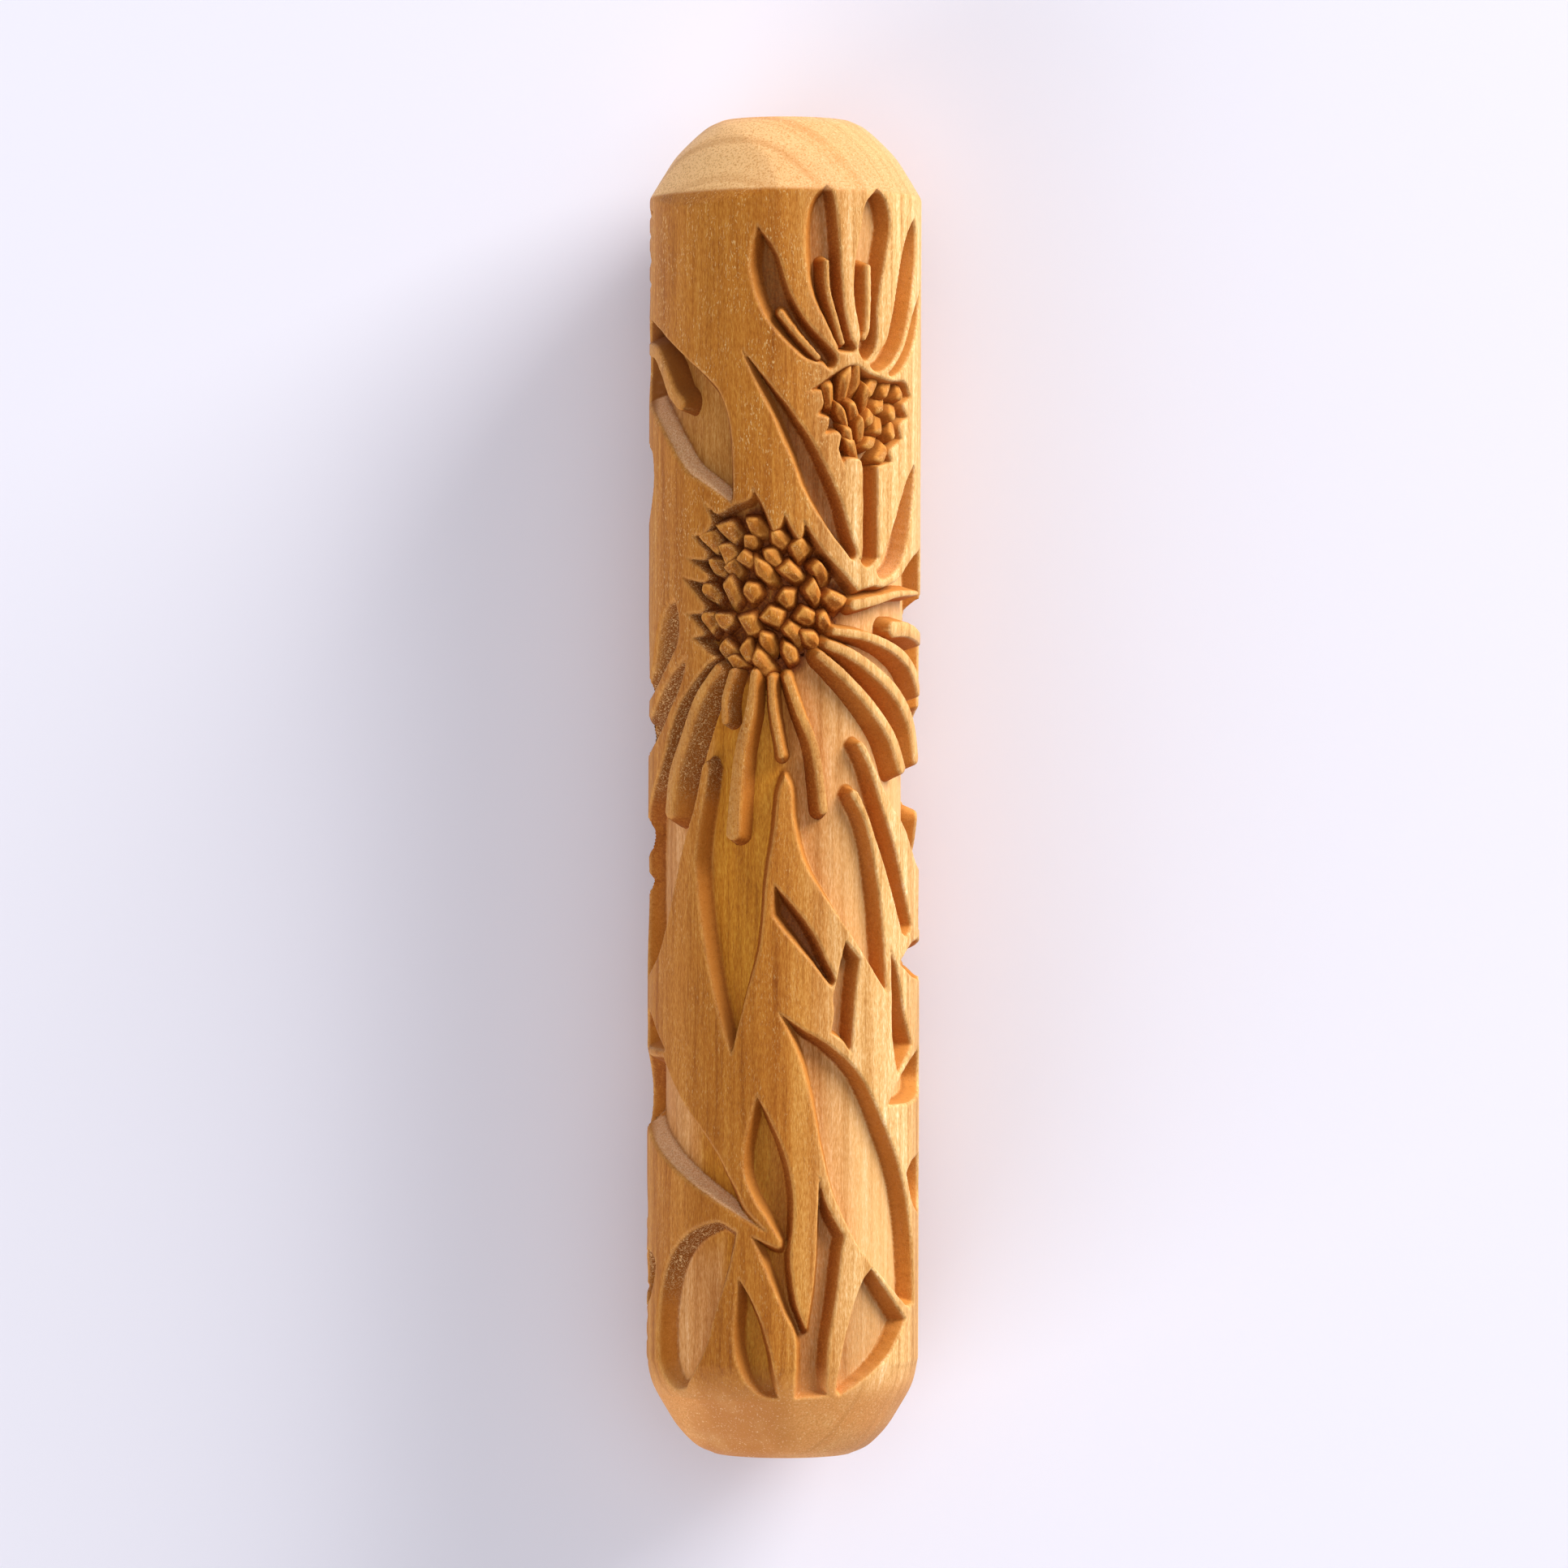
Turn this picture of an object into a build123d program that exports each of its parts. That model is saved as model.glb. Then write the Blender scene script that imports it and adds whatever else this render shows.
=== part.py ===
from build123d import *
import math
import os

# Wooden pattern roller: one turned rod of hardwood, domed and faced flat at both ends, whose
# barrel is carved all round with a coneflower relief. Pressed into clay it leaves the relief
# reversed. The relief has two levels: the raised ground, which is the turned surface itself,
# and the floor of the carving. Seeds, petals and veins stand up again from that floor.
#
# Frame: the roller lies on its side. Its axis is the Y axis, Z is up, and the origin is on the
# axis midway between the two flat ends. All lengths are millimetres.
#
# A place on the barrel is a pair (around, along): the arc length on the turned surface from
# the uppermost line towards +X, and the height along Y.

# ---- driving dimensions ------------------------------------------------------
OUTER_RADIUS = 13.5          # turned surface
FLOOR_RADIUS = 11.6          # floor of the carving
BARREL_HALF_LENGTH = 60.0    # the carving stops inside this
UPPER_SHOULDER = 58.3        # crisp shoulder where the upper dome starts
LOWER_SHOULDER = -56.6       # soft shoulder where the lower dome starts
UPPER_FLAT = 66.0            # flat end faces
LOWER_FLAT = -66.0
UPPER_FLAT_RADIUS = 6.5
LOWER_FLAT_RADIUS = 6.9

CUTTER_RADIUS = 14.2         # pocket cutters reach past the turned surface
WALL_BOTTOM_RADIUS = 11.0    # dividing walls start below the floor
WALL_TOP_RADIUS = 14.6       # and end outside the cutters
CURVE_STEPS = 2             # points per stretch of a smooth side

BAR_SLOPE = 0.5              # how far each side of a petal bar spreads from crest to floor
VEIN_SLOPE = 0.85            # the thin veins spread more
BAR_TOP_RADIUS = 13.55
BAR_BOTTOM_RADIUS = 11.5

SEED_ROOT_RADIUS = 11.3      # seeds are pointed pegs rooted below the floor
LARGE_SEED = (1.3, 0.45, 13.3)     # foot radius, tip radius, distance of the tip from the axis
SMALL_SEED = (1.05, 0.4, 13.25)

# Dome profiles as (distance from the axis, along).
UPPER_CHAMFER_END = (12.3, 60.3)
UPPER_DOME = [UPPER_CHAMFER_END, (11.0, 62.3), (9.5, 63.9), (7.9, 65.3), (UPPER_FLAT_RADIUS, UPPER_FLAT)]
LOWER_DOME = [(OUTER_RADIUS, LOWER_SHOULDER), (12.9, -59.1), (11.6, -61.5), (10.3, -63.5), (8.6, -65.2),
              (LOWER_FLAT_RADIUS, LOWER_FLAT)]

# ---- the pattern -------------------------------------------------------------
# Each pocket is a closed outline of smooth sides that meet in corners. The wood inside it is
# cut down to the floor.
POCKETS = {
    "petal_pocket_1": [
        [(-2.8, 54.8), (-0.9, 52.2), (0.6, 48.0), (2.5, 45.0), (5.2, 42.3), (5.1, 41.1),
         (4.4, 40.8), (3.8, 41.3)],
        [(3.8, 41.3), (2.0, 41.8), (-0.4, 43.9), (-2.4, 46.6), (-3.5, 50.2), (-3.4, 52.6), (-2.8, 54.8)],
    ],
    "petal_pocket_2": [
        [(4.1, 58.8), (2.6, 57.2), (2.0, 54.5), (2.1, 51.0), (2.7, 48.0), (4.2, 45.0), (5.3, 43.0)],
        [(5.3, 43.0), (5.5, 42.5), (7.1, 42.5), (7.4, 43.1), (6.8, 43.9)],
        [(6.8, 43.9), (6.1, 46.5), (5.75, 50.0), (5.4, 54.0), (4.9, 57.8), (4.1, 58.8)],
    ],
    "petal_pocket_3": [
        [(10.0, 58.7), (8.5, 57.2), (7.9, 54.5), (7.2, 51.2), (7.1, 48.0), (7.8, 44.3), (7.6, 42.8),
         (8.4, 41.7), (9.4, 42.4), (9.95, 43.8), (10.1, 47.5), (11.1, 51.8), (11.8, 55.0), (11.2, 57.4),
         (10.0, 58.7)],
    ],
    "petal_pocket_4": [
        [(16.8, 56.3), (14.7, 54.2), (13.4, 51.0), (12.4, 47.2), (11.2, 43.7), (9.3, 42.0), (9.1, 41.1),
         (10.2, 40.7), (12.2, 41.7), (14.2, 44.0), (15.8, 47.4), (17.2, 51.5), (17.4, 54.5), (16.8, 56.3)],
    ],
    "petal_pocket_5": [
        [(11.4, 40.5), (13.2, 42.0), (14.9, 44.3), (16.4, 46.8), (19.0, 49.2)],
        [(19.0, 49.2), (18.6, 46.6), (16.6, 43.6), (14.2, 41.3), (12.4, 40.3), (11.4, 40.5)],
    ],
    "small_head": [
        [(3.4, 39.3), (2.2, 38.6)],
        [(2.2, 38.6), (3.6, 38.6)],
        [(3.6, 38.6), (3.8, 37.4), (3.2, 36.3)],
        [(3.2, 36.3), (4.4, 36.0)],
        [(4.4, 36.0), (4.3, 35.2), (3.8, 34.3)],
        [(3.8, 34.3), (5.3, 34.6), (5.7, 34.3)],
        [(5.7, 34.3), (5.4, 33.0)],
        [(5.4, 33.0), (6.1, 31.1)],
        [(6.1, 31.1), (6.4, 32.0), (7.8, 32.0), (8.2, 31.2)],
        [(8.2, 31.2), (8.2, 23.0), (7.8, 22.4), (8.7, 21.5), (9.9, 22.2), (10.2, 23.2), (10.1, 31.4)],
        [(10.1, 31.4), (12.2, 31.9)],
        [(12.2, 31.9), (11.9, 33.0), (13.9, 34.2)],
        [(13.9, 34.2), (13.6, 35.6), (15.2, 36.4)],
        [(15.2, 36.4), (14.3, 37.6), (15.9, 38.4)],
        [(15.9, 38.4), (14.6, 39.9), (12.0, 39.9), (9.4, 40.4), (7.0, 41.3), (4.9, 40.3), (3.4, 39.3)],
    ],
    "right_leaf": [
        [(17.1, 32.1), (14.9, 30.2), (13.1, 27.0), (11.5, 23.8), (10.1, 21.8), (10.2, 20.7), (11.1, 20.4),
         (13.3, 21.5), (14.9, 23.7), (16.3, 27.2), (17.2, 30.6), (17.1, 32.1)],
    ],
    "long_leaf": [
        [(-4.2, 42.5), (-2.0, 40.0), (0.9, 36.4), (3.1, 33.1), (5.4, 28.7), (6.9, 24.6), (7.5, 22.9),
         (7.0, 22.2), (6.2, 23.0), (4.1, 25.5), (2.0, 28.7), (0.3, 32.8), (-1.6, 37.0), (-3.3, 40.2),
         (-4.2, 42.5)],
    ],
    "left_leaf": [
        [(-21.0, 46.3), (-18.0, 45.9), (-14.0, 44.0), (-8.0, 39.9), (-6.2, 37.5), (-5.4, 34.0),
         (-5.2, 29.0), (-5.4, 27.7)],
        [(-5.4, 27.7), (-8.0, 29.3), (-11.0, 31.1), (-14.0, 34.1), (-17.0, 36.5), (-21.0, 38.2)],
        [(-21.0, 38.2), (-22.6, 42.0), (-21.0, 46.3)],
    ],
    "left_edge_notch": [
        [(-22.0, 34.2), (-18.6, 33.4), (-17.6, 31.5), (-17.8, 29.2), (-19.5, 26.8), (-22.5, 26.0),
         (-24.0, 30.0), (-22.0, 34.2)],
    ],
    # the open floor round the large flower's head and petals
    "flower_field": [
        [(1.9, 26.0), (4.0, 23.0), (6.1, 20.9), (7.7, 19.2)],
        [(7.7, 19.2), (9.4, 19.7), (11.2, 19.7), (13.5, 20.6), (16.0, 22.4), (19.5, 23.6)],
        [(19.5, 23.6), (22.5, 16.0), (22.8, 6.0), (22.4, -3.0), (20.5, -8.3)],
        [(20.5, -8.3), (17.6, -7.2), (14.8, -4.0), (12.0, -1.5), (9.9, 1.8), (8.8, 3.7)],
        [(8.8, 3.7), (8.2, 4.4), (7.7, 4.2)],
        [(7.7, 4.2), (9.1, 2.0), (10.9, -2.0), (12.9, -6.0), (14.7, -10.0), (16.6, -13.7)],
        [(16.6, -13.7), (15.4, -14.7), (14.2, -14.3)],
        [(14.2, -14.3), (12.0, -9.5), (10.1, -5.4), (8.5, -1.8), (7.7, -0.5)],
        [(7.7, -0.5), (7.2, -0.3), (6.9, -0.7)],
        [(6.9, -0.7), (8.8, -3.8), (10.2, -9.0), (11.1, -14.5), (11.6, -20.2)],
        [(11.6, -20.2), (9.0, -17.1), (5.2, -12.1), (2.2, -7.7), (1.0, -3.5), (0.7, -0.2), (0.1, 1.1)],
        [(0.1, 1.1), (-0.5, -0.5), (-0.9, -4.0), (-1.75, -9.5), (-2.3, -15.3), (-3.9, -21.0), (-5.2, -26.2)],
        [(-5.2, -26.2), (-6.4, -23.0), (-8.0, -17.0), (-9.4, -9.0), (-9.2, -4.8), (-8.3, -0.3), (-8.0, 1.8)],
        [(-8.0, 1.8), (-8.3, 2.4), (-8.7, 1.9)],
        [(-8.7, 1.9), (-9.5, -1.5), (-11.0, -5.3), (-12.6, -10.0), (-14.0, -13.8), (-16.1, -17.0),
         (-20.5, -19.3)],
        [(-20.5, -19.3), (-22.6, -13.0), (-22.6, -8.0), (-21.0, -3.4)],
        [(-21.0, -3.4), (-18.0, -0.9), (-15.0, 2.5), (-13.5, 5.4), (-12.0, 8.0), (-9.6, 10.5), (-8.1, 12.0)],
        [(-8.1, 12.0), (-7.2, 12.6), (-8.2, 13.2), (-9.8, 14.6)],
        [(-9.8, 14.6), (-8.6, 15.1), (-10.6, 17.0)],
        [(-10.6, 17.0), (-8.8, 17.1), (-8.8, 18.1), (-11.2, 20.5)],
        [(-11.2, 20.5), (-8.6, 20.1), (-8.3, 20.8), (-10.6, 22.4)],
        [(-10.6, 22.4), (-8.5, 22.3), (-8.4, 23.0), (-10.0, 24.7)],
        [(-10.0, 24.7), (-8.7, 24.7), (-7.7, 26.0), (-8.4, 27.8)],
        [(-8.4, 27.8), (-7.0, 26.7), (-5.2, 27.5), (-3.5, 28.1), (-3.2, 29.2)],
        [(-3.2, 29.2), (-2.0, 27.1), (-1.1, 25.0)],
        [(-1.1, 25.0), (-0.5, 25.4), (0.0, 26.7)],
        [(0.0, 26.7), (0.7, 25.3), (1.5, 24.1)],
        [(1.5, 24.1), (1.85, 25.0), (1.9, 26.0)],
    ],
    "petal_gap_left": [
        [(-10.8, 12.8), (-11.6, 10.2), (-13.1, 8.1), (-15.0, 5.8), (-17.3, 4.2), (-21.0, 2.8)],
        [(-21.0, 2.8), (-22.0, 4.5), (-21.0, 6.3)],
        [(-21.0, 6.3), (-18.0, 7.3), (-15.6, 9.1), (-13.2, 11.1), (-10.8, 12.8)],
    ],
    "side_leaf_left": [
        [(-12.6, 18.3), (-12.0, 16.2), (-12.4, 13.9), (-14.2, 11.9), (-17.2, 9.5), (-21.0, 8.4)],
        [(-21.0, 8.4), (-20.0, 9.9), (-17.3, 12.0), (-16.0, 15.0), (-14.3, 17.5), (-12.6, 18.3)],
    ],
    "short_leaf_1": [
        [(-0.9, -9.5), (1.4, -12.0), (3.0, -14.2), (4.3, -16.8), (5.3, -18.7), (4.9, -19.6)],
        [(4.9, -19.6), (2.0, -16.2), (0.2, -14.2), (-1.1, -12.6)],
        [(-1.1, -12.6), (-1.1, -11.0), (-0.9, -9.5)],
    ],
    "short_leaf_2": [
        [(6.35, -15.0), (8.05, -16.8)],
        [(8.05, -16.8), (7.6, -19.5), (7.3, -23.0), (7.0, -26.0)],
        [(7.0, -26.0), (6.1, -24.8), (4.8, -24.0)],
        [(4.8, -24.0), (5.1, -22.0), (5.0, -20.5), (5.6, -18.0), (6.35, -15.0)],
    ],
    "broad_leaf": [
        [(-0.4, -22.0), (2.0, -23.6), (5.0, -25.4), (8.0, -28.0), (11.0, -32.5), (14.0, -37.5),
         (15.9, -41.5), (17.2, -46.0), (17.6, -50.9)],
        [(17.6, -50.9), (15.4, -51.0), (12.7, -49.3), (9.6, -46.7)],
        [(9.6, -46.7), (7.4, -44.2), (5.2, -40.0), (3.9, -35.7), (2.9, -31.0), (1.6, -26.4), (-0.4, -22.0)],
    ],
    "side_pocket_1": [
        [(12.2, -16.0), (12.4, -20.0), (12.5, -24.5), (13.5, -28.2)],
        [(13.5, -28.2), (16.7, -25.4)],
        [(16.7, -25.4), (14.9, -22.4), (13.6, -18.4), (12.2, -16.0)],
    ],
    "side_pocket_2": [
        [(11.9, -31.2), (13.3, -29.1), (16.0, -27.0), (20.0, -25.6)],
        [(20.0, -25.6), (21.4, -28.5), (20.0, -30.4)],
        [(20.0, -30.4), (16.0, -31.1), (11.9, -31.2)],
    ],
    "side_pocket_3": [
        [(13.7, -17.3), (16.5, -15.4), (20.5, -15.0)],
        [(20.5, -15.0), (21.3, -17.2), (20.5, -19.2)],
        [(20.5, -19.2), (16.6, -18.6), (13.7, -17.3)],
    ],
    "side_pocket_4": [
        [(15.3, -38.0), (17.0, -36.8), (20.5, -36.2)],
        [(20.5, -36.2), (21.5, -39.5), (20.5, -42.5)],
        [(20.5, -42.5), (17.0, -41.0), (15.3, -38.0)],
    ],
    "far_left_pocket": [
        [(-20.5, -22.0), (-18.0, -22.6), (-16.0, -24.2), (-14.2, -25.9)],
        [(-14.2, -25.9), (-20.5, -25.7)],
        [(-20.5, -25.7), (-21.4, -23.8), (-20.5, -22.0)],
    ],
    "lower_left_leaf": [
        [(-20.5, -26.5), (-14.6, -26.6)],
        [(-14.6, -26.6), (-11.6, -30.5), (-7.6, -34.7), (-5.2, -38.4), (-3.7, -41.2), (-1.7, -43.3)],
        [(-1.7, -43.3), (-6.0, -41.0), (-10.0, -38.8), (-14.0, -36.6), (-20.5, -33.2)],
        [(-20.5, -33.2), (-21.8, -30.0), (-20.5, -26.5)],
    ],
    "lower_stem": [
        [(-2.6, -30.0), (-0.6, -33.8), (0.8, -38.0), (1.1, -42.0), (0.8, -46.0), (1.3, -50.0), (2.35, -52.8)],
        [(2.35, -52.8), (3.1, -48.0), (3.4, -43.0), (3.6, -38.0)],
        [(3.6, -38.0), (4.6, -41.0), (6.4, -43.9)],
        [(6.4, -43.9), (6.0, -45.6), (5.6, -49.0), (4.7, -54.0), (4.5, -58.0), (4.9, -59.4)],
        [(4.9, -59.4), (1.25, -59.7)],
        [(1.25, -59.7), (1.3, -54.0), (0.0, -50.9), (-1.7, -47.0), (-3.0, -43.9)],
        [(-3.0, -43.9), (-0.5, -44.9), (-0.2, -44.3)],
        [(-0.2, -44.3), (-1.3, -42.5), (-3.5, -38.9), (-3.9, -35.5), (-2.6, -30.0)],
    ],
    "lower_leaf_1": [
        [(-4.4, -48.0), (-2.8, -50.6), (-1.4, -54.4), (-0.3, -59.7)],
        [(-0.3, -59.7), (-2.4, -59.4), (-4.2, -57.2), (-4.95, -53.5), (-4.4, -48.0)],
    ],
    "lower_leaf_2": [
        [(9.6, -47.1), (12.5, -50.1), (15.3, -52.4)],
        [(15.3, -52.4), (12.2, -55.6), (8.6, -58.0), (6.2, -59.5)],
        [(6.2, -59.5), (5.6, -58.5), (6.5, -53.5), (8.1, -48.9), (9.6, -47.1)],
    ],
    "lower_leaf_3": [
        [(-4.6, -43.4), (-5.4, -47.0), (-7.0, -51.5), (-8.4, -55.5), (-11.0, -59.0)],
        [(-11.0, -59.0), (-13.4, -59.0), (-15.4, -56.5), (-15.4, -51.5), (-13.8, -47.2), (-11.0, -44.1),
         (-7.0, -42.5), (-4.6, -43.4)],
    ],
    "left_low_notch": [
        [(-20.5, -45.6), (-16.9, -46.3), (-16.3, -47.8), (-18.0, -50.4), (-20.5, -51.6)],
        [(-20.5, -51.6), (-22.5, -48.6), (-20.5, -45.6)],
    ],
}

# Raised bars left standing on the floor: centre line, crest width at its start and at its end.
BARS = {
    "vein_1": ([(-0.5, 46.2), (1.3, 44.0), (3.3, 41.9)], 0.4, 0.35),
    "vein_2": ([(4.15, 51.2), (4.3, 48.6), (5.1, 45.8), (5.85, 43.4)], 0.35, 0.3),
    "vein_3": ([(8.8, 50.9), (8.85, 47.5), (8.7, 44.9), (8.3, 43.9)], 0.4, 0.3),
    "leaf_rib": ([(-20.5, 43.4), (-17.0, 42.8), (-14.9, 41.0), (-13.3, 38.8), (-11.9, 37.6)], 1.2, 1.1),
    "petal_tongue": ([(7.4, 17.8), (10.5, 18.4), (13.5, 19.0), (18.5, 19.2)], 0.9, 0.3),
    "petal_r1": ([(12.6, 15.5), (15.5, 15.5), (20.3, 14.7)], 1.4, 1.2),
    "petal_r2": ([(5.2, 15.2), (9.0, 14.7), (13.0, 13.5), (16.5, 11.8), (19.5, 9.6)], 0.6, 1.1),
    "petal_r3": ([(4.5, 13.9), (7.2, 12.9), (10.5, 11.0), (13.6, 8.9), (16.4, 6.2), (18.2, 3.0)], 0.7, 1.3),
    "petal_r4": ([(3.6, 12.9), (6.2, 10.9), (9.5, 7.9), (12.4, 4.9), (14.2, 1.9)], 0.6, 1.0),
    "petal_b1": ([(0.3, 10.7), (1.6, 7.3), (3.1, 3.7), (4.0, -2.2)], 0.6, 0.75),
    "petal_b2": ([(-1.3, 10.6), (-1.1, 7.5), (-0.25, 3.1)], 0.55, 0.5),
    "petal_b3": ([(-3.0, 11.1), (-3.5, 7.2), (-4.5, 3.0), (-5.2, -4.5)], 0.6, 1.3),
    "petal_b4": ([(-5.3, 11.2), (-6.1, 8.6), (-6.1, 6.4)], 0.5, 0.5),
    "petal_l1": ([(-7.0, 11.6), (-9.3, 8.6), (-11.2, 4.6), (-12.9, 1.1), (-13.5, -2.4)], 0.5, 1.3),
}

# Seed tips of the two flower heads.
LARGE_SEEDS = [
    (-3.0, 25.4), (-5.6, 24.8), (-7.7, 24.0), (-3.6, 23.9), (-0.5, 24.2), (-6.0, 22.9), (-4.0, 22.2),
    (-1.2, 22.4), (1.6, 23.2), (-7.2, 21.4), (-5.4, 21.2), (-2.0, 20.9), (0.8, 20.9), (3.8, 21.0),
    (-8.0, 18.9), (-5.6, 18.9), (-3.4, 19.0), (0.2, 18.3), (3.1, 18.8), (5.3, 18.3), (-8.1, 16.2),
    (-6.4, 16.2), (-3.6, 15.8), (-1.1, 16.7), (2.3, 16.6), (4.3, 16.2), (1.0, 15.1), (-1.6, 14.0),
    (-6.1, 13.3), (-3.9, 13.2), (0.6, 13.0), (2.9, 14.3), (-5.2, 12.2), (-2.3, 12.1),
]
SMALL_SEEDS = [
    (4.6, 38.2), (6.3, 39.2), (7.7, 40.2), (9.8, 39.3), (12.0, 39.1), (14.2, 38.9), (8.9, 38.1),
    (11.1, 37.6), (6.1, 36.3), (7.6, 36.6), (9.7, 36.4), (13.1, 37.0), (11.0, 35.6), (8.3, 35.0),
    (6.7, 34.1), (9.6, 33.9), (13.0, 35.1), (11.1, 32.7), (7.3, 32.8),
]

SMALL_FLOWER_VEINS = {"vein_1": "petal_pocket_1", "vein_2": "petal_pocket_2", "vein_3": "petal_pocket_3"}


def on_barrel(place, radius):
    """The point in space above a place on the barrel, at a distance from the axis."""
    around, along = place
    angle = around / OUTER_RADIUS
    return Vector(radius * math.sin(angle), along, radius * math.cos(angle))


def smooth(points):
    """A smooth side through its points, or a straight one between two."""
    knots = [Vector(*point) for point in points]
    first = knots[0] * 2 - knots[1]
    last = knots[-1] * 2 - knots[-2]
    knots = [first] + knots + [last]
    side = []
    for before, start, end, after in zip(knots, knots[1:], knots[2:], knots[3:]):
        for step in range(CURVE_STEPS):
            t = step / CURVE_STEPS
            place = (start * 2 + (end - before) * t
                     + (before * 2 - start * 5 + end * 4 - after) * t ** 2
                     + (start * 3 - before - end * 3 + after) * t ** 3) * 0.5
            side.append((place.X, place.Y))
    side.append(tuple(points[-1]))
    return side


def wall(low_side, low_radius, high_side, high_radius):
    """A ruled wall between two curves, one below the other."""
    low = Edge.make_spline([on_barrel(place, low_radius) for place in low_side])
    high = Edge.make_spline([on_barrel(place, high_radius) for place in high_side])
    return Face.make_surface_from_curves(low, high)


def pocket_walls(outline):
    """The radial walls round one pocket."""
    walls = []
    for points in outline:
        side = smooth(points)
        walls.append(wall(side, WALL_BOTTOM_RADIUS, side, WALL_TOP_RADIUS))
    return Shell(walls)


def bar_sides(line, start_width, end_width, spread):
    """Left and right edge of a bar, each moved out by the spread."""
    centre = smooth(line)
    count = len(centre)
    left, right = [], []
    for number, (around, along) in enumerate(centre):
        before = centre[max(number - 1, 0)]
        after = centre[min(number + 1, count - 1)]
        length = math.dist(before, after)
        across = ((before[1] - after[1]) / length, (after[0] - before[0]) / length)
        half = (start_width + (end_width - start_width) * number / (count - 1)) / 2 + spread
        left.append((around + across[0] * half, along + across[1] * half))
        right.append((around - across[0] * half, along - across[1] * half))
    return left, right


def bar_walls(bar, slope):
    """The four sloping walls round one bar."""
    depth = OUTER_RADIUS - FLOOR_RADIUS
    rings = []
    for radius in (BAR_BOTTOM_RADIUS, BAR_TOP_RADIUS):
        spread = slope * (OUTER_RADIUS - radius) / depth
        left, right = bar_sides(*bar, spread)
        rings.append([left, smooth([left[-1], right[-1]]), right[::-1], smooth([right[0], left[0]])])
    low, high = rings
    walls = []
    for low_side, high_side in zip(low, high):
        walls.append(wall(low_side, BAR_BOTTOM_RADIUS, high_side, BAR_TOP_RADIUS))
    return Shell(walls)


def make_blank():
    """The plain turned rod with its two domed ends."""
    upper_face = Vector(UPPER_FLAT_RADIUS, UPPER_FLAT)
    lower_face = Vector(LOWER_FLAT_RADIUS, LOWER_FLAT)
    edges = [
        Edge.make_line((0, LOWER_FLAT), lower_face),
        Edge.make_spline([Vector(*point) for point in reversed(LOWER_DOME)]),
        Edge.make_line((OUTER_RADIUS, LOWER_SHOULDER), (OUTER_RADIUS, UPPER_SHOULDER)),
        Edge.make_line((OUTER_RADIUS, UPPER_SHOULDER), UPPER_CHAMFER_END),
        Edge.make_spline([Vector(*point) for point in UPPER_DOME]),
        Edge.make_line(upper_face, (0, UPPER_FLAT)),
        Edge.make_line((0, UPPER_FLAT), (0, LOWER_FLAT)),
    ]
    return revolve(Face(Wire(edges)), Axis.Y, 360).solid()


def make_sleeve():
    """The ring of wood that the pockets are cut from."""
    start = Plane(origin=(0, -BARREL_HALF_LENGTH, 0), z_dir=(0, 1, 0))
    outside = Solid.make_cylinder(CUTTER_RADIUS, 2 * BARREL_HALF_LENGTH, start)
    inside = Solid.make_cylinder(FLOOR_RADIUS, 2 * BARREL_HALF_LENGTH, start)
    return (outside - inside).solid()


def cut_pocket(sleeve, outline):
    """The block of the sleeve inside one outline."""
    pieces = sleeve.split(pocket_walls(outline), keep=Keep.ALL)
    return min(pieces, key=lambda piece: piece.volume)


def make_bars(names, pocket, slope, blank):
    """The bars that stand in one pocket, joined where their feet meet."""
    standing = (pocket & blank).solid()
    bars = []
    for name in names:
        centre = smooth(BARS[name][0])
        inner_point = on_barrel(centre[len(centre) // 2], (OUTER_RADIUS + FLOOR_RADIUS) / 2)
        pieces = standing.split(bar_walls(BARS[name], slope), keep=Keep.ALL)
        bars += [piece for piece in pieces if piece.is_inside(inner_point)]
    return bars


def make_seeds(places, size, pocket, blank):
    """A flower head: pointed pegs set in a pocket."""
    foot_radius, tip_radius, tip_distance = size
    pegs = []
    for place in places:
        root = on_barrel(place, SEED_ROOT_RADIUS)
        outwards = Vector(root.X, 0, root.Z)
        peg = Solid.make_cone(foot_radius, tip_radius, tip_distance - SEED_ROOT_RADIUS,
                              Plane(origin=root, z_dir=outwards))
        pegs.append(peg)
    head = pegs[0].fuse(*pegs[1:])
    return head & pocket & blank


def solids_of(shape):
    """Every solid in a shape or in a list of shapes."""
    if isinstance(shape, (list, tuple)):
        found = []
        for item in shape:
            found += item.solids()
        return found
    return list(shape.solids())


def turned(solids):
    """The same solids on the other side of the barrel, end for end."""
    return [solid.rotate(Axis.X, 180) for solid in solids]


def write(name, solids):
    """One STEP file for one named region."""
    export_step(Compound(label=name, children=solids), f"parts/{name}.step")


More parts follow.
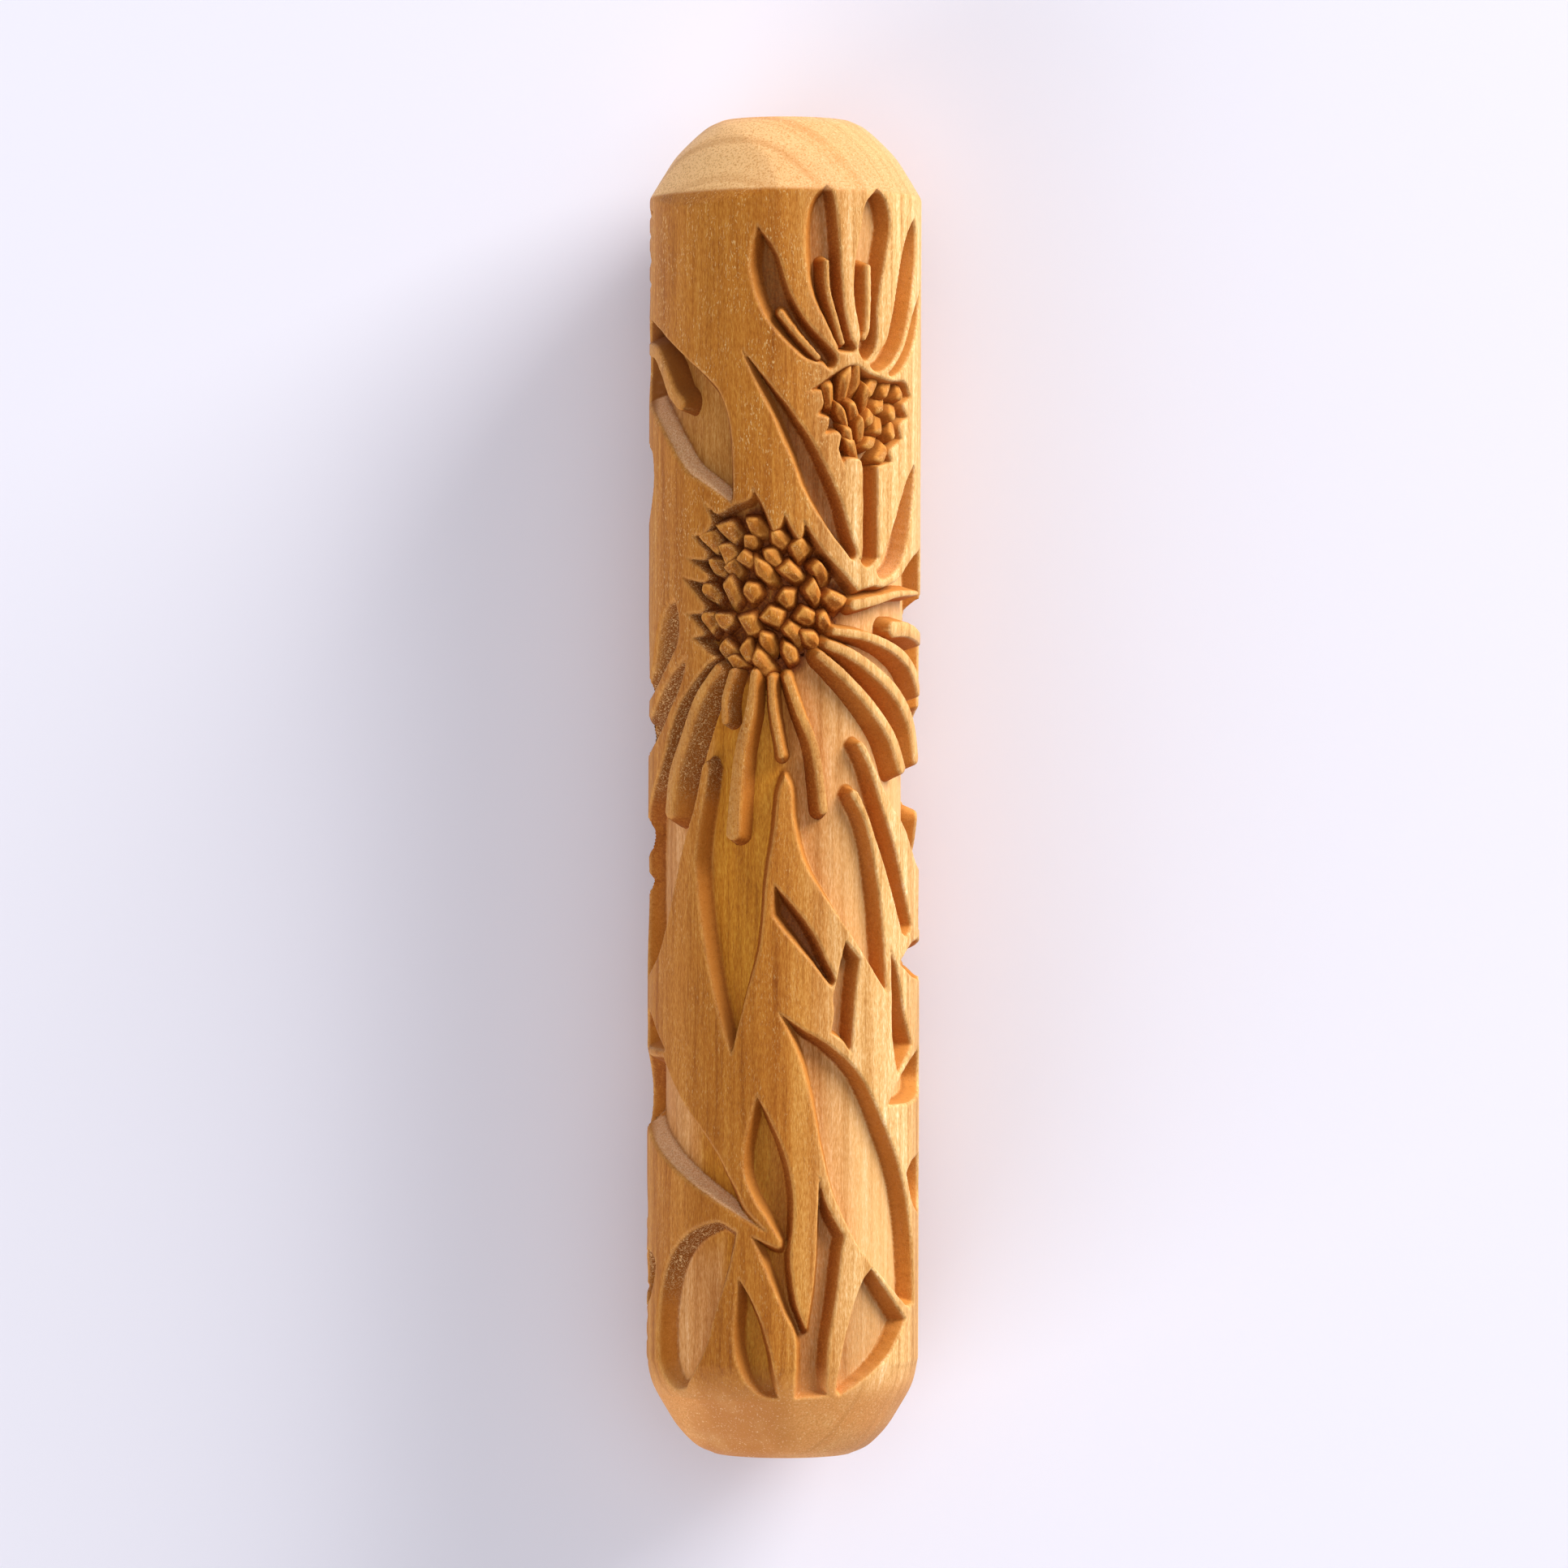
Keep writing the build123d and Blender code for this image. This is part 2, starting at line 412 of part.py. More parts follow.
def main():
    os.makedirs("parts", exist_ok=True)
    blank = make_blank()
    sleeve = make_sleeve()
    pockets = {name: cut_pocket(sleeve, outline) for name, outline in POCKETS.items()}

    front_cutters = list(pockets.values())
    cutters = front_cutters + turned(front_cutters)
    upper_cut = Plane(origin=(0, BARREL_HALF_LENGTH, 0), z_dir=(0, 1, 0))
    lower_cut = Plane(origin=(0, -BARREL_HALF_LENGTH, 0), z_dir=(0, 1, 0))
    upper_end = blank.split(upper_cut, keep=Keep.TOP)
    below = blank.split(upper_cut, keep=Keep.BOTTOM)
    lower_end = below.split(lower_cut, keep=Keep.BOTTOM)
    barrel = below.split(lower_cut, keep=Keep.TOP)
    barrel = barrel.cut(*cutters)

    field = pockets["flower_field"]
    petal_names = [name for name in BARS if name.startswith("petal")]
    petals = make_bars(petal_names, field, BAR_SLOPE, blank)
    large_petals = solids_of(petals[0].fuse(*petals[1:]))
    large_seeds = make_seeds(LARGE_SEEDS, LARGE_SEED, field, blank)
    large_seeds = solids_of(large_seeds - large_petals)
    small_seeds = solids_of(make_seeds(SMALL_SEEDS, SMALL_SEED, pockets["small_head"], blank))
    veins = []
    for name, pocket_name in SMALL_FLOWER_VEINS.items():
        veins += make_bars([name], pockets[pocket_name], VEIN_SLOPE, blank)
    leaf_rib = make_bars(["leaf_rib"], pockets["left_leaf"], BAR_SLOPE, blank)

    write("carved_barrel", solids_of(barrel))
    write("upper_domed_end", solids_of(upper_end))
    write("lower_domed_end", solids_of(lower_end))
    relief = {
        "large_flower_petals": large_petals,
        "large_flower_seeds": large_seeds,
        "small_flower_veins": veins,
        "small_flower_seeds": small_seeds,
        "leaf_rib": leaf_rib,
    }
    for name, solids in relief.items():
        write(f"front_{name}", solids)
        write(f"back_{name}", turned(solids))


main()
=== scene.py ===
import math
import bpy
import numpy as np
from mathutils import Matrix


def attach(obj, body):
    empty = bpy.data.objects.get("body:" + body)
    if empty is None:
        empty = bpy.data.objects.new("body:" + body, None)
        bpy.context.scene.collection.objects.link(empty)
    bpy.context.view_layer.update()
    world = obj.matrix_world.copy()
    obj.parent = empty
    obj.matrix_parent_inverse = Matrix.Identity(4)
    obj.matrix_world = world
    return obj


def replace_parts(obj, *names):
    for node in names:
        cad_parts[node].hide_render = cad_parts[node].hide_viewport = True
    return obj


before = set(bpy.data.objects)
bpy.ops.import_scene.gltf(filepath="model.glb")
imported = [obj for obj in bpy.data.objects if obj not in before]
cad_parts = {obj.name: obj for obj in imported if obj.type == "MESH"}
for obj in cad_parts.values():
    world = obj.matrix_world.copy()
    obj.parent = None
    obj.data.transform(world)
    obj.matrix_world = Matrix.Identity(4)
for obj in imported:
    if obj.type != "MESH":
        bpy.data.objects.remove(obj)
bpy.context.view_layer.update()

# Wooden pattern roller, lying on its side: axis along Y, Z up, metres in the scene.
# Everything about the relief is worked out in millimetres on the unrolled barrel: a place is
# (around, along), the arc length on the turned surface from the uppermost line towards +X and
# the height along Y. The far side carries the same pattern turned end for end.

# ---- the blank (mm) ----
MM = 0.001
OUTER_RADIUS = 13.5
FLOOR_RADIUS = 11.6
DEPTH = OUTER_RADIUS - FLOOR_RADIUS
HALF_TURN = math.pi * OUTER_RADIUS
HALF_LENGTH = 66.0
BARREL_HALF = 60.0
UPPER_SHOULDER = 58.3
LOWER_SHOULDER = -56.6
UPPER_CHAMFER_END = (12.3, 60.3)
UPPER_SLOPE = (OUTER_RADIUS - UPPER_CHAMFER_END[0]) / (UPPER_CHAMFER_END[1] - UPPER_SHOULDER)
UPPER_DOME = [UPPER_CHAMFER_END, (11.0, 62.3), (9.5, 63.9), (7.9, 65.3), (6.5, HALF_LENGTH)]
LOWER_DOME = [(OUTER_RADIUS, LOWER_SHOULDER), (12.9, -59.1), (11.6, -61.5), (10.3, -63.5),
              (8.6, -65.2), (6.9, -HALF_LENGTH)]
SHOULDER_ROUNDING = 0.3
# the shallow flat rubbed into the upper dome: radians round the roller, the rest in mm
RUB_CENTRE = -0.70
RUB_HALF_WIDTH = 0.64
RUB_START = 58.0
RUB_LENGTH = 6.3
RUB_DEPTH = 0.75
RUB_FADE = 1.5               # how far before the end face it fades out

# ---- the carving (mm) ----
CELL = 0.16                  # spacing of the barrel's mesh
BAND_LIMITS = [-60.0, -24.0, 8.0, 36.0, 60.0]
CREST_ROUNDING = 0.13
TOE_ROUNDING = 0.24
END_FADE = 3.0               # the cutter's unevenness fades out this far before the barrel's ends
WALL_WIDTH = 0.5             # how far a pocket's wall leans out from floor to crest
WIDE_WALLS = {"left_leaf": 0.85, "lower_left_leaf": 0.9, "broad_leaf": 0.6, "side_leaf_left": 1.0,
              "petal_gap_left": 0.9, "lower_leaf_3": 0.8, "far_left_pocket": 0.8}
# how much further a pocket's left wall leans out, as a share of the width
LEFT_WALL_EXTRA = {"petal_pocket_1": 0.6, "petal_pocket_2": 0.5, "side_leaf_left": 0.6,
                   "petal_gap_left": 0.6, "lower_leaf_3": 0.5, "short_leaf_2": 0.4, "lower_leaf_2": 0.4}
USUAL_LEFT_EXTRA = 0.15
FLANK_WIDTH = 0.6            # how far a raised bar's flank leans out
MIDDLE_LEAN = 0.6            # share by which the flank towards the roller's middle leans out further,
MIDDLE_REACH = 6.0           # and how far from the uppermost line it does so fully
WIDE_FLANKS = {"petal_l1": 1.1, "petal_r3": 0.8, "petal_r4": 0.8, "leaf_rib": 0.8}
# painted shade and light in each pocket: 1 is the darkest painted shade on its floor and walls, -1 is
# painted light on its walls that face up and to the right
POCKET_SHADE_AND_LIGHT = {"short_leaf_1": 0.85, "short_leaf_2": 0.3, "petal_pocket_1": 0.6, "petal_pocket_2": 0.3,
                 "petal_pocket_3": 0.2, "long_leaf": 0.45, "lower_leaf_1": 0.3, "lower_leaf_2": 0.3,
                 "lower_stem": 0.3, "left_leaf": -1.0, "lower_left_leaf": -1.0, "right_leaf": -0.3}
# how strong the painted shade is between the seeds of each head, and along the foot of every wall
LARGE_GAP = 1.0
SMALL_GAP = 0.6
TOE_SHADE = 0.4
GAP_REACH = 2.4              # how far from a seed the floor gets painted shade, and over what length that fades
GAP_FADE = 0.8
PAINTED_SHADE_FADE = 0.6               # a pocket's painted shade is full from this far inside its crest
TOE_BAND = 0.13              # half the width of the shade along a wall's foot
CREST_BAND = 0.14            # the same for the band of rubbed wear and painted highlight at a crest, and how far outside it lies
CREST_OUTSIDE = 0.06

# ---- the pattern ----
# Each pocket is a closed outline of smooth sides that meet in corners, and the wood inside it is
# cut down to the floor. A side starts where the one before it ends, so it lists its points after
# that corner, up to and with the next one.
POCKETS = {
    "petal_pocket_1": [
        [(-0.9, 52.2), (0.6, 48), (2.5, 45), (5.2, 42.3), (5.1, 41.1), (4.4, 40.8), (3.8, 41.3)],
        [(2, 41.8), (-0.4, 43.9), (-2.4, 46.6), (-3.5, 50.2), (-3.4, 52.6), (-2.8, 54.8)]],
    "petal_pocket_2": [
        [(2.6, 57.2), (2, 54.5), (2.1, 51), (2.7, 48), (4.2, 45), (5.3, 43)],
        [(5.5, 42.5), (7.1, 42.5), (7.4, 43.1), (6.8, 43.9)],
        [(6.1, 46.5), (5.75, 50), (5.4, 54), (4.9, 57.8), (4.1, 58.8)]],
    "petal_pocket_3": [
        [(8.5, 57.2), (7.9, 54.5), (7.2, 51.2), (7.1, 48), (7.8, 44.3), (7.6, 42.8), (8.4, 41.7),
         (9.4, 42.4), (9.95, 43.8), (10.1, 47.5), (11.1, 51.8), (11.8, 55), (11.2, 57.4), (10, 58.7)]],
    "petal_pocket_4": [
        [(14.7, 54.2), (13.4, 51), (12.4, 47.2), (11.2, 43.7), (9.3, 42), (9.1, 41.1), (10.2, 40.7),
         (12.2, 41.7), (14.2, 44), (15.8, 47.4), (17.2, 51.5), (17.4, 54.5), (16.8, 56.3)]],
    "petal_pocket_5": [
        [(13.2, 42), (14.9, 44.3), (16.4, 46.8), (19, 49.2)],
        [(18.6, 46.6), (16.6, 43.6), (14.2, 41.3), (12.4, 40.3), (11.4, 40.5)]],
    "small_head": [
        [(2.2, 38.6)], [(3.6, 38.6)], [(3.8, 37.4), (3.2, 36.3)], [(4.4, 36)],
        [(4.3, 35.2), (3.8, 34.3)], [(5.3, 34.6), (5.7, 34.3)], [(5.4, 33)], [(6.1, 31.1)],
        [(6.4, 32), (7.8, 32), (8.2, 31.2)],
        [(8.2, 23), (7.8, 22.4), (8.7, 21.5), (9.9, 22.2), (10.2, 23.2), (10.1, 31.4)], [(12.2, 31.9)],
        [(11.9, 33), (13.9, 34.2)], [(13.6, 35.6), (15.2, 36.4)], [(14.3, 37.6), (15.9, 38.4)],
        [(14.6, 39.9), (12, 39.9), (9.4, 40.4), (7, 41.3), (4.9, 40.3), (3.4, 39.3)]],
    "right_leaf": [
        [(14.9, 30.2), (13.1, 27), (11.5, 23.8), (10.1, 21.8), (10.2, 20.7), (11.1, 20.4),
         (13.3, 21.5), (14.9, 23.7), (16.3, 27.2), (17.2, 30.6), (17.1, 32.1)]],
    "long_leaf": [
        [(-2, 40), (0.9, 36.4), (3.1, 33.1), (5.4, 28.7), (6.9, 24.6), (7.5, 22.9), (7, 22.2),
         (6.2, 23), (4.1, 25.5), (2, 28.7), (0.3, 32.8), (-1.6, 37), (-3.3, 40.2), (-4.2, 42.5)]],
    "left_leaf": [
        [(-18, 45.9), (-14, 44), (-8, 39.9), (-6.2, 37.5), (-5.4, 34), (-5.2, 29), (-5.4, 27.7)],
        [(-8, 29.3), (-11, 31.1), (-14, 34.1), (-17, 36.5), (-21, 38.2)], [(-22.6, 42), (-21, 46.3)]],
    "left_edge_notch": [
        [(-18.6, 33.4), (-17.6, 31.5), (-17.8, 29.2), (-19.5, 26.8), (-22.5, 26), (-24, 30),
         (-22, 34.2)]],
    # the open floor round the large flower's head and petals
    "flower_field": [
        [(4, 23), (6.1, 20.9), (7.7, 19.2)],
        [(9.4, 19.7), (11.2, 19.7), (13.5, 20.6), (16, 22.4), (19.5, 23.6)],
        [(22.5, 16), (22.8, 6), (22.4, -3), (20.5, -8.3)],
        [(17.6, -7.2), (14.8, -4), (12, -1.5), (9.9, 1.8), (8.8, 3.7)], [(8.2, 4.4), (7.7, 4.2)],
        [(9.1, 2), (10.9, -2), (12.9, -6), (14.7, -10), (16.6, -13.7)], [(15.4, -14.7), (14.2, -14.3)],
        [(12, -9.5), (10.1, -5.4), (8.5, -1.8), (7.7, -0.5)], [(7.2, -0.3), (6.9, -0.7)],
        [(8.8, -3.8), (10.2, -9), (11.1, -14.5), (11.6, -20.2)],
        [(9, -17.1), (5.2, -12.1), (2.2, -7.7), (1, -3.5), (0.7, -0.2), (0.1, 1.1)],
        [(-0.5, -0.5), (-0.9, -4), (-1.75, -9.5), (-2.3, -15.3), (-3.9, -21), (-5.2, -26.2)],
        [(-6.4, -23), (-8, -17), (-9.4, -9), (-9.2, -4.8), (-8.3, -0.3), (-8, 1.8)],
        [(-8.3, 2.4), (-8.7, 1.9)],
        [(-9.5, -1.5), (-11, -5.3), (-12.6, -10), (-14, -13.8), (-16.1, -17), (-20.5, -19.3)],
        [(-22.6, -13), (-22.6, -8), (-21, -3.4)],
        [(-18, -0.9), (-15, 2.5), (-13.5, 5.4), (-12, 8), (-9.6, 10.5), (-8.1, 12)],
        [(-7.2, 12.6), (-8.2, 13.2), (-9.8, 14.6)], [(-8.6, 15.1), (-10.6, 17)],
        [(-8.8, 17.1), (-8.8, 18.1), (-11.2, 20.5)], [(-8.6, 20.1), (-8.3, 20.8), (-10.6, 22.4)],
        [(-8.5, 22.3), (-8.4, 23), (-10, 24.7)], [(-8.7, 24.7), (-7.7, 26), (-8.4, 27.8)],
        [(-7, 26.7), (-5.2, 27.5), (-3.5, 28.1), (-3.2, 29.2)], [(-2, 27.1), (-1.1, 25)],
        [(-0.5, 25.4), (0, 26.7)], [(0.7, 25.3), (1.5, 24.1)], [(1.85, 25), (1.9, 26)]],
    "petal_gap_left": [
        [(-11.6, 10.2), (-13.1, 8.1), (-15, 5.8), (-17.3, 4.2), (-21, 2.8)], [(-22, 4.5), (-21, 6.3)],
        [(-18, 7.3), (-15.6, 9.1), (-13.2, 11.1), (-10.8, 12.8)]],
    "side_leaf_left": [
        [(-12, 16.2), (-12.4, 13.9), (-14.2, 11.9), (-17.2, 9.5), (-21, 8.4)],
        [(-20, 9.9), (-17.3, 12), (-16, 15), (-14.3, 17.5), (-12.6, 18.3)]],
    "short_leaf_1": [
        [(1.4, -12), (3, -14.2), (4.3, -16.8), (5.3, -18.7), (4.9, -19.6)],
        [(2, -16.2), (0.2, -14.2), (-1.1, -12.6)], [(-1.1, -11), (-0.9, -9.5)]],
    "short_leaf_2": [
        [(8.05, -16.8)], [(7.6, -19.5), (7.3, -23), (7, -26)], [(6.1, -24.8), (4.8, -24)],
        [(5.1, -22), (5, -20.5), (5.6, -18), (6.35, -15)]],
    "broad_leaf": [
        [(2, -23.6), (5, -25.4), (8, -28), (11, -32.5), (14, -37.5), (15.9, -41.5), (17.2, -46),
         (17.6, -50.9)], [(15.4, -51), (12.7, -49.3), (9.6, -46.7)],
        [(7.4, -44.2), (5.2, -40), (3.9, -35.7), (2.9, -31), (1.6, -26.4), (-0.4, -22)]],
    "side_pocket_1": [
        [(12.4, -20), (12.5, -24.5), (13.5, -28.2)], [(16.7, -25.4)],
        [(14.9, -22.4), (13.6, -18.4), (12.2, -16)]],
    "side_pocket_2": [
        [(13.3, -29.1), (16, -27), (20, -25.6)], [(21.4, -28.5), (20, -30.4)],
        [(16, -31.1), (11.9, -31.2)]],
    "side_pocket_3": [
        [(16.5, -15.4), (20.5, -15)], [(21.3, -17.2), (20.5, -19.2)], [(16.6, -18.6), (13.7, -17.3)]],
    "side_pocket_4": [
        [(17, -36.8), (20.5, -36.2)], [(21.5, -39.5), (20.5, -42.5)], [(17, -41), (15.3, -38)]],
    "far_left_pocket": [
        [(-18, -22.6), (-16, -24.2), (-14.2, -25.9)], [(-20.5, -25.7)], [(-21.4, -23.8), (-20.5, -22)]],
    "lower_left_leaf": [
        [(-14.6, -26.6)], [(-11.6, -30.5), (-7.6, -34.7), (-5.2, -38.4), (-3.7, -41.2), (-1.7, -43.3)],
        [(-6, -41), (-10, -38.8), (-14, -36.6), (-20.5, -33.2)], [(-21.8, -30), (-20.5, -26.5)]],
    "lower_stem": [
        [(-0.6, -33.8), (0.8, -38), (1.1, -42), (0.8, -46), (1.3, -50), (2.35, -52.8)],
        [(3.1, -48), (3.4, -43), (3.6, -38)], [(4.6, -41), (6.4, -43.9)],
        [(6, -45.6), (5.6, -49), (4.7, -54), (4.5, -58), (4.9, -59.4)], [(1.25, -59.7)],
        [(1.3, -54), (0, -50.9), (-1.7, -47), (-3, -43.9)], [(-0.5, -44.9), (-0.2, -44.3)],
        [(-1.3, -42.5), (-3.5, -38.9), (-3.9, -35.5), (-2.6, -30)]],
    "lower_leaf_1": [
        [(-2.8, -50.6), (-1.4, -54.4), (-0.3, -59.7)],
        [(-2.4, -59.4), (-4.2, -57.2), (-4.95, -53.5), (-4.4, -48)]],
    "lower_leaf_2": [
        [(12.5, -50.1), (15.3, -52.4)], [(12.2, -55.6), (8.6, -58), (6.2, -59.5)],
        [(5.6, -58.5), (6.5, -53.5), (8.1, -48.9), (9.6, -47.1)]],
    "lower_leaf_3": [
        [(-5.4, -47), (-7, -51.5), (-8.4, -55.5), (-11, -59)],
        [(-13.4, -59), (-15.4, -56.5), (-15.4, -51.5), (-13.8, -47.2), (-11, -44.1), (-7, -42.5),
         (-4.6, -43.4)]],
    "left_low_notch": [
        [(-16.9, -46.3), (-16.3, -47.8), (-18, -50.4), (-20.5, -51.6)],
        [(-22.5, -48.6), (-20.5, -45.6)]],
    # short slots across the roller's left edge
    "edge_nick_1": [
        [(-20, 57.2), (-21.7, 57.2), (-22.8, 56.8)], [(-21.7, 56.4), (-20, 56.4), (-17.9, 56.8)]],
    "edge_nick_2": [
        [(-20, 52.9), (-21.7, 53.1), (-22.9, 52.4)], [(-21.7, 51.6), (-20, 51.7), (-18.1, 52.2)]],
    "edge_nick_3": [
        [(-20.6, 54.9), (-21.8, 54.9), (-22.7, 54.6)], [(-21.8, 54.3), (-20.6, 54.3), (-19.2, 54.6)]],
    "edge_nick_4": [
        [(-20.6, 50.1), (-21.8, 50.1), (-22.8, 49.7)], [(-21.8, 49.3), (-20.6, 49.3), (-19, 49.7)]],
}

# Raised bars left standing on the floor: centre line, crest width at its start and at its end.
BARS = {
    "vein_1": ([(-0.5, 46.2), (1.3, 44), (3.3, 41.9)], 0.4, 0.35),
    "vein_2": ([(4.15, 51.2), (4.3, 48.6), (5.1, 45.8), (5.85, 43.4)], 0.35, 0.3),
    "vein_3": ([(8.8, 50.9), (8.85, 47.5), (8.7, 44.9), (8.3, 43.9)], 0.4, 0.3),
    "leaf_rib": ([(-20.5, 43.4), (-17, 42.8), (-14.9, 41), (-13.3, 38.8), (-11.9, 37.6)], 1.2, 1.1),
    "petal_tongue": ([(7.4, 17.8), (10.5, 18.4), (13.5, 19), (18.5, 19.2)], 0.9, 0.3),
    "petal_r1": ([(12.6, 15.5), (15.5, 15.5), (20.3, 14.7)], 1.4, 1.2),
    "petal_r2": ([(5.2, 15.2), (9, 14.7), (13, 13.5), (16.5, 11.8), (19.5, 9.6)], 0.6, 1.1),
    "petal_r3": ([(4.5, 13.9), (7.2, 12.9), (10.5, 11), (13.6, 8.9), (16.4, 6.2), (18.2, 3)], 0.7, 1.3),
    "petal_r4": ([(3.6, 12.9), (6.2, 10.9), (9.5, 7.9), (12.4, 4.9), (14.2, 1.9)], 0.6, 1),
    "petal_b1": ([(0.3, 10.7), (1.6, 7.3), (3.1, 3.7), (4, -2.2)], 0.6, 0.75),
    "petal_b2": ([(-1.3, 10.6), (-1.1, 7.5), (-0.25, 3.1)], 0.55, 0.5),
    "petal_b3": ([(-3, 11.1), (-3.5, 7.2), (-4.5, 3), (-5.2, -4.5)], 0.6, 1.3),
    "petal_b4": ([(-5.3, 11.2), (-6.1, 8.6), (-6.1, 6.4)], 0.5, 0.5),
    "petal_l1": ([(-7, 11.6), (-9.3, 8.6), (-11.2, 4.6), (-12.9, 1.1), (-13.5, -2.4)], 0.5, 1.3),
}

# Seed tips of the two flower heads.
LARGE_SEEDS = [
    (-3, 25.4), (-5.6, 24.8), (-7.7, 24), (-3.6, 23.9), (-0.5, 24.2), (-6, 22.9), (-4, 22.2),
    (-1.2, 22.4), (1.6, 23.2), (-7.2, 21.4), (-5.4, 21.2), (-2, 20.9), (0.8, 20.9), (3.8, 21),
    (-8, 18.9), (-5.6, 18.9), (-3.4, 19), (0.2, 18.3), (3.1, 18.8), (5.3, 18.3), (-8.1, 16.2),
    (-6.4, 16.2), (-3.6, 15.8), (-1.1, 16.7), (2.3, 16.6), (4.3, 16.2), (1, 15.1), (-1.6, 14),
    (-6.1, 13.3), (-3.9, 13.2), (0.6, 13), (2.9, 14.3), (-5.2, 12.2), (-2.3, 12.1),
]
SMALL_SEEDS = [
    (4.6, 38.2), (6.3, 39.2), (7.7, 40.2), (9.8, 39.3), (12, 39.1), (14.2, 38.9), (8.9, 38.1),
    (11.1, 37.6), (6.1, 36.3), (7.6, 36.6), (9.7, 36.4), (13.1, 37), (11, 35.6), (8.3, 35),
    (6.7, 34.1), (9.6, 33.9), (13, 35.1), (11.1, 32.7), (7.3, 32.8),
]

# ---- curves and distances on the unrolled barrel ----

CHUNK = 20000                # places that are compared with one outline at a time


def smooth(points, steps=6):
    """A smooth side through its points, or a straight one between two."""
    knots = np.array(points, float)
    knots = np.vstack([2 * knots[0] - knots[1], knots, 2 * knots[-1] - knots[-2]])
    t = (np.arange(steps) / steps)[:, None]
    side = []
    for before, start, end, after in zip(knots, knots[1:], knots[2:], knots[3:]):
        side.append(0.5 * (2 * start + (end - before) * t
                           + (2 * before - 5 * start + 4 * end - after) * t ** 2
                           + (3 * start - before - 3 * end + after) * t ** 3))
    side.append(knots[-2:-1])
    return np.vstack(side)


def closed_outline(sides):
    """All the sides of one pocket as a closed run of points."""
    corners = [side[-1] for side in sides]
    starts = corners[-1:] + corners[:-1]
    return np.vstack([smooth([start] + side)[:-1] for start, side in zip(starts, sides)])


def inside_distance(outline, places):
    """Distance to the outline, positive inside, and the step to its nearest point."""
    along = np.roll(outline, -1, axis=0) - outline
    length_squared = (along ** 2).sum(axis=1) + 1e-12
    distance = np.empty(len(places))
    step = np.empty((len(places), 2))
    for first in range(0, len(places), CHUNK):
        part = slice(first, first + CHUNK)
        offset = places[part, None, :] - outline
        share = np.clip((offset * along).sum(axis=2) / length_squared, 0, 1)
        gap = offset - share[..., None] * along
        gap_squared = (gap ** 2).sum(axis=2)
        nearest = gap_squared.argmin(axis=1)
        rows = np.arange(len(nearest))
        step[part] = -gap[rows, nearest]
        above = offset[..., 1] < 0
        ends_above = offset[..., 1] - along[:, 1] < 0
        crossing = np.where(above == ends_above, 1.0, along[:, 1])
        reach = along[:, 0] * offset[..., 1] / crossing - offset[..., 0]
        inside = ((above != ends_above) & (reach > 0)).sum(axis=1) % 2 == 1
        distance[part] = np.sqrt(gap_squared[rows, nearest]) * np.where(inside, 1, -1)
    return distance, step


def turned(places):
    """The same places seen from the far side, which is turned end for end."""
    around = HALF_TURN - places[:, 0]
    around = (around + HALF_TURN) % (2 * HALF_TURN) - HALF_TURN
    return np.stack([around, -places[:, 1]], axis=1)


OUTLINES = {name: closed_outline(sides) for name, sides in POCKETS.items()}


def carving(places):
    """How far inside a pocket each place is, the step to the crest, the wall's width and the
    pocket's painted shade and light."""
    margin = 0.4  # places further outside a pocket than this aren't measured
    distance = np.full(len(places), -margin)
    step = np.zeros((len(places), 2))
    width = np.full(len(places), WALL_WIDTH)
    painted_shade_and_light = np.zeros(len(places))
    for seen, sign in ((places, 1), (turned(places), -1)):
        for name, outline in OUTLINES.items():
            low = outline.min(axis=0) - margin
            high = outline.max(axis=0) + margin
            near = np.flatnonzero(((seen > low) & (seen < high)).all(axis=1))
            found, towards = inside_distance(outline, seen[near])
            deeper = found > distance[near]
            chosen = near[deeper]
            distance[chosen] = found[deeper]
            step[chosen] = sign * towards[deeper]
            leftness = np.clip(-towards[deeper, 0] / (found[deeper] + 1e-9), 0, 1)
            extra = LEFT_WALL_EXTRA.get(name, USUAL_LEFT_EXTRA) * leftness
            width[chosen] = WIDE_WALLS.get(name, WALL_WIDTH) * (1 + extra)
            painted_shade_and_light[chosen] = POCKET_SHADE_AND_LIGHT.get(name, 0)
    return distance, step, width, painted_shade_and_light


# ---- noise ----
random = np.random.default_rng(7)


class Ripple:
    """Smooth noise of a given height on the unrolled barrel, joined up round the barrel."""

    half_length = 70  # it reaches this far up and down the roller

    def __init__(self, size_around, size_along, height):
        self.columns = max(int(round(2 * HALF_TURN / size_around)), 2)
        self.rows = int(math.ceil(2 * self.half_length / size_along)) + 2
        self.size_along = size_along
        self.height = height
        self.values = random.uniform(-1, 1, (self.rows, self.columns))

    def at(self, places):
        x = (places[:, 0] / (2 * HALF_TURN) % 1) * self.columns
        y = np.clip((places[:, 1] + self.half_length) / self.size_along, 0, self.rows - 1.001)
        column, row = x.astype(int), y.astype(int)
        fx, fy = x - column, y - row
        fx, fy = fx * fx * (3 - 2 * fx), fy * fy * (3 - 2 * fy)
        column %= self.columns
        beside = (column + 1) % self.columns
        low = self.values[row, column] * (1 - fx) + self.values[row, beside] * fx
        high = self.values[row + 1, column] * (1 - fx) + self.values[row + 1, beside] * fx
        return self.height * (low * (1 - fy) + high * fy)


EDGE_WANDER = Ripple(1.3, 1.6, 0.03)
EDGE_NIBBLE = Ripple(0.35, 0.5, 0.02)
FLOOR_WAVES = Ripple(2.2, 3.5, 0.035)
FLOOR_MARKS = Ripple(0.6, 1.4, 0.02)
WALL_FIBRES = Ripple(1.2, 0.28, 0.03)
GROUND_WAVES = Ripple(5.0, 9.0, 0.02)


# ---- the carved surface ----

def eased(x, reach):
    """The larger of x and 0, with the bend rounded over the reach."""
    bend = (x + reach) ** 2 / (4 * reach)
    return np.where(x < -reach, 0, np.where(x > reach, x, bend))


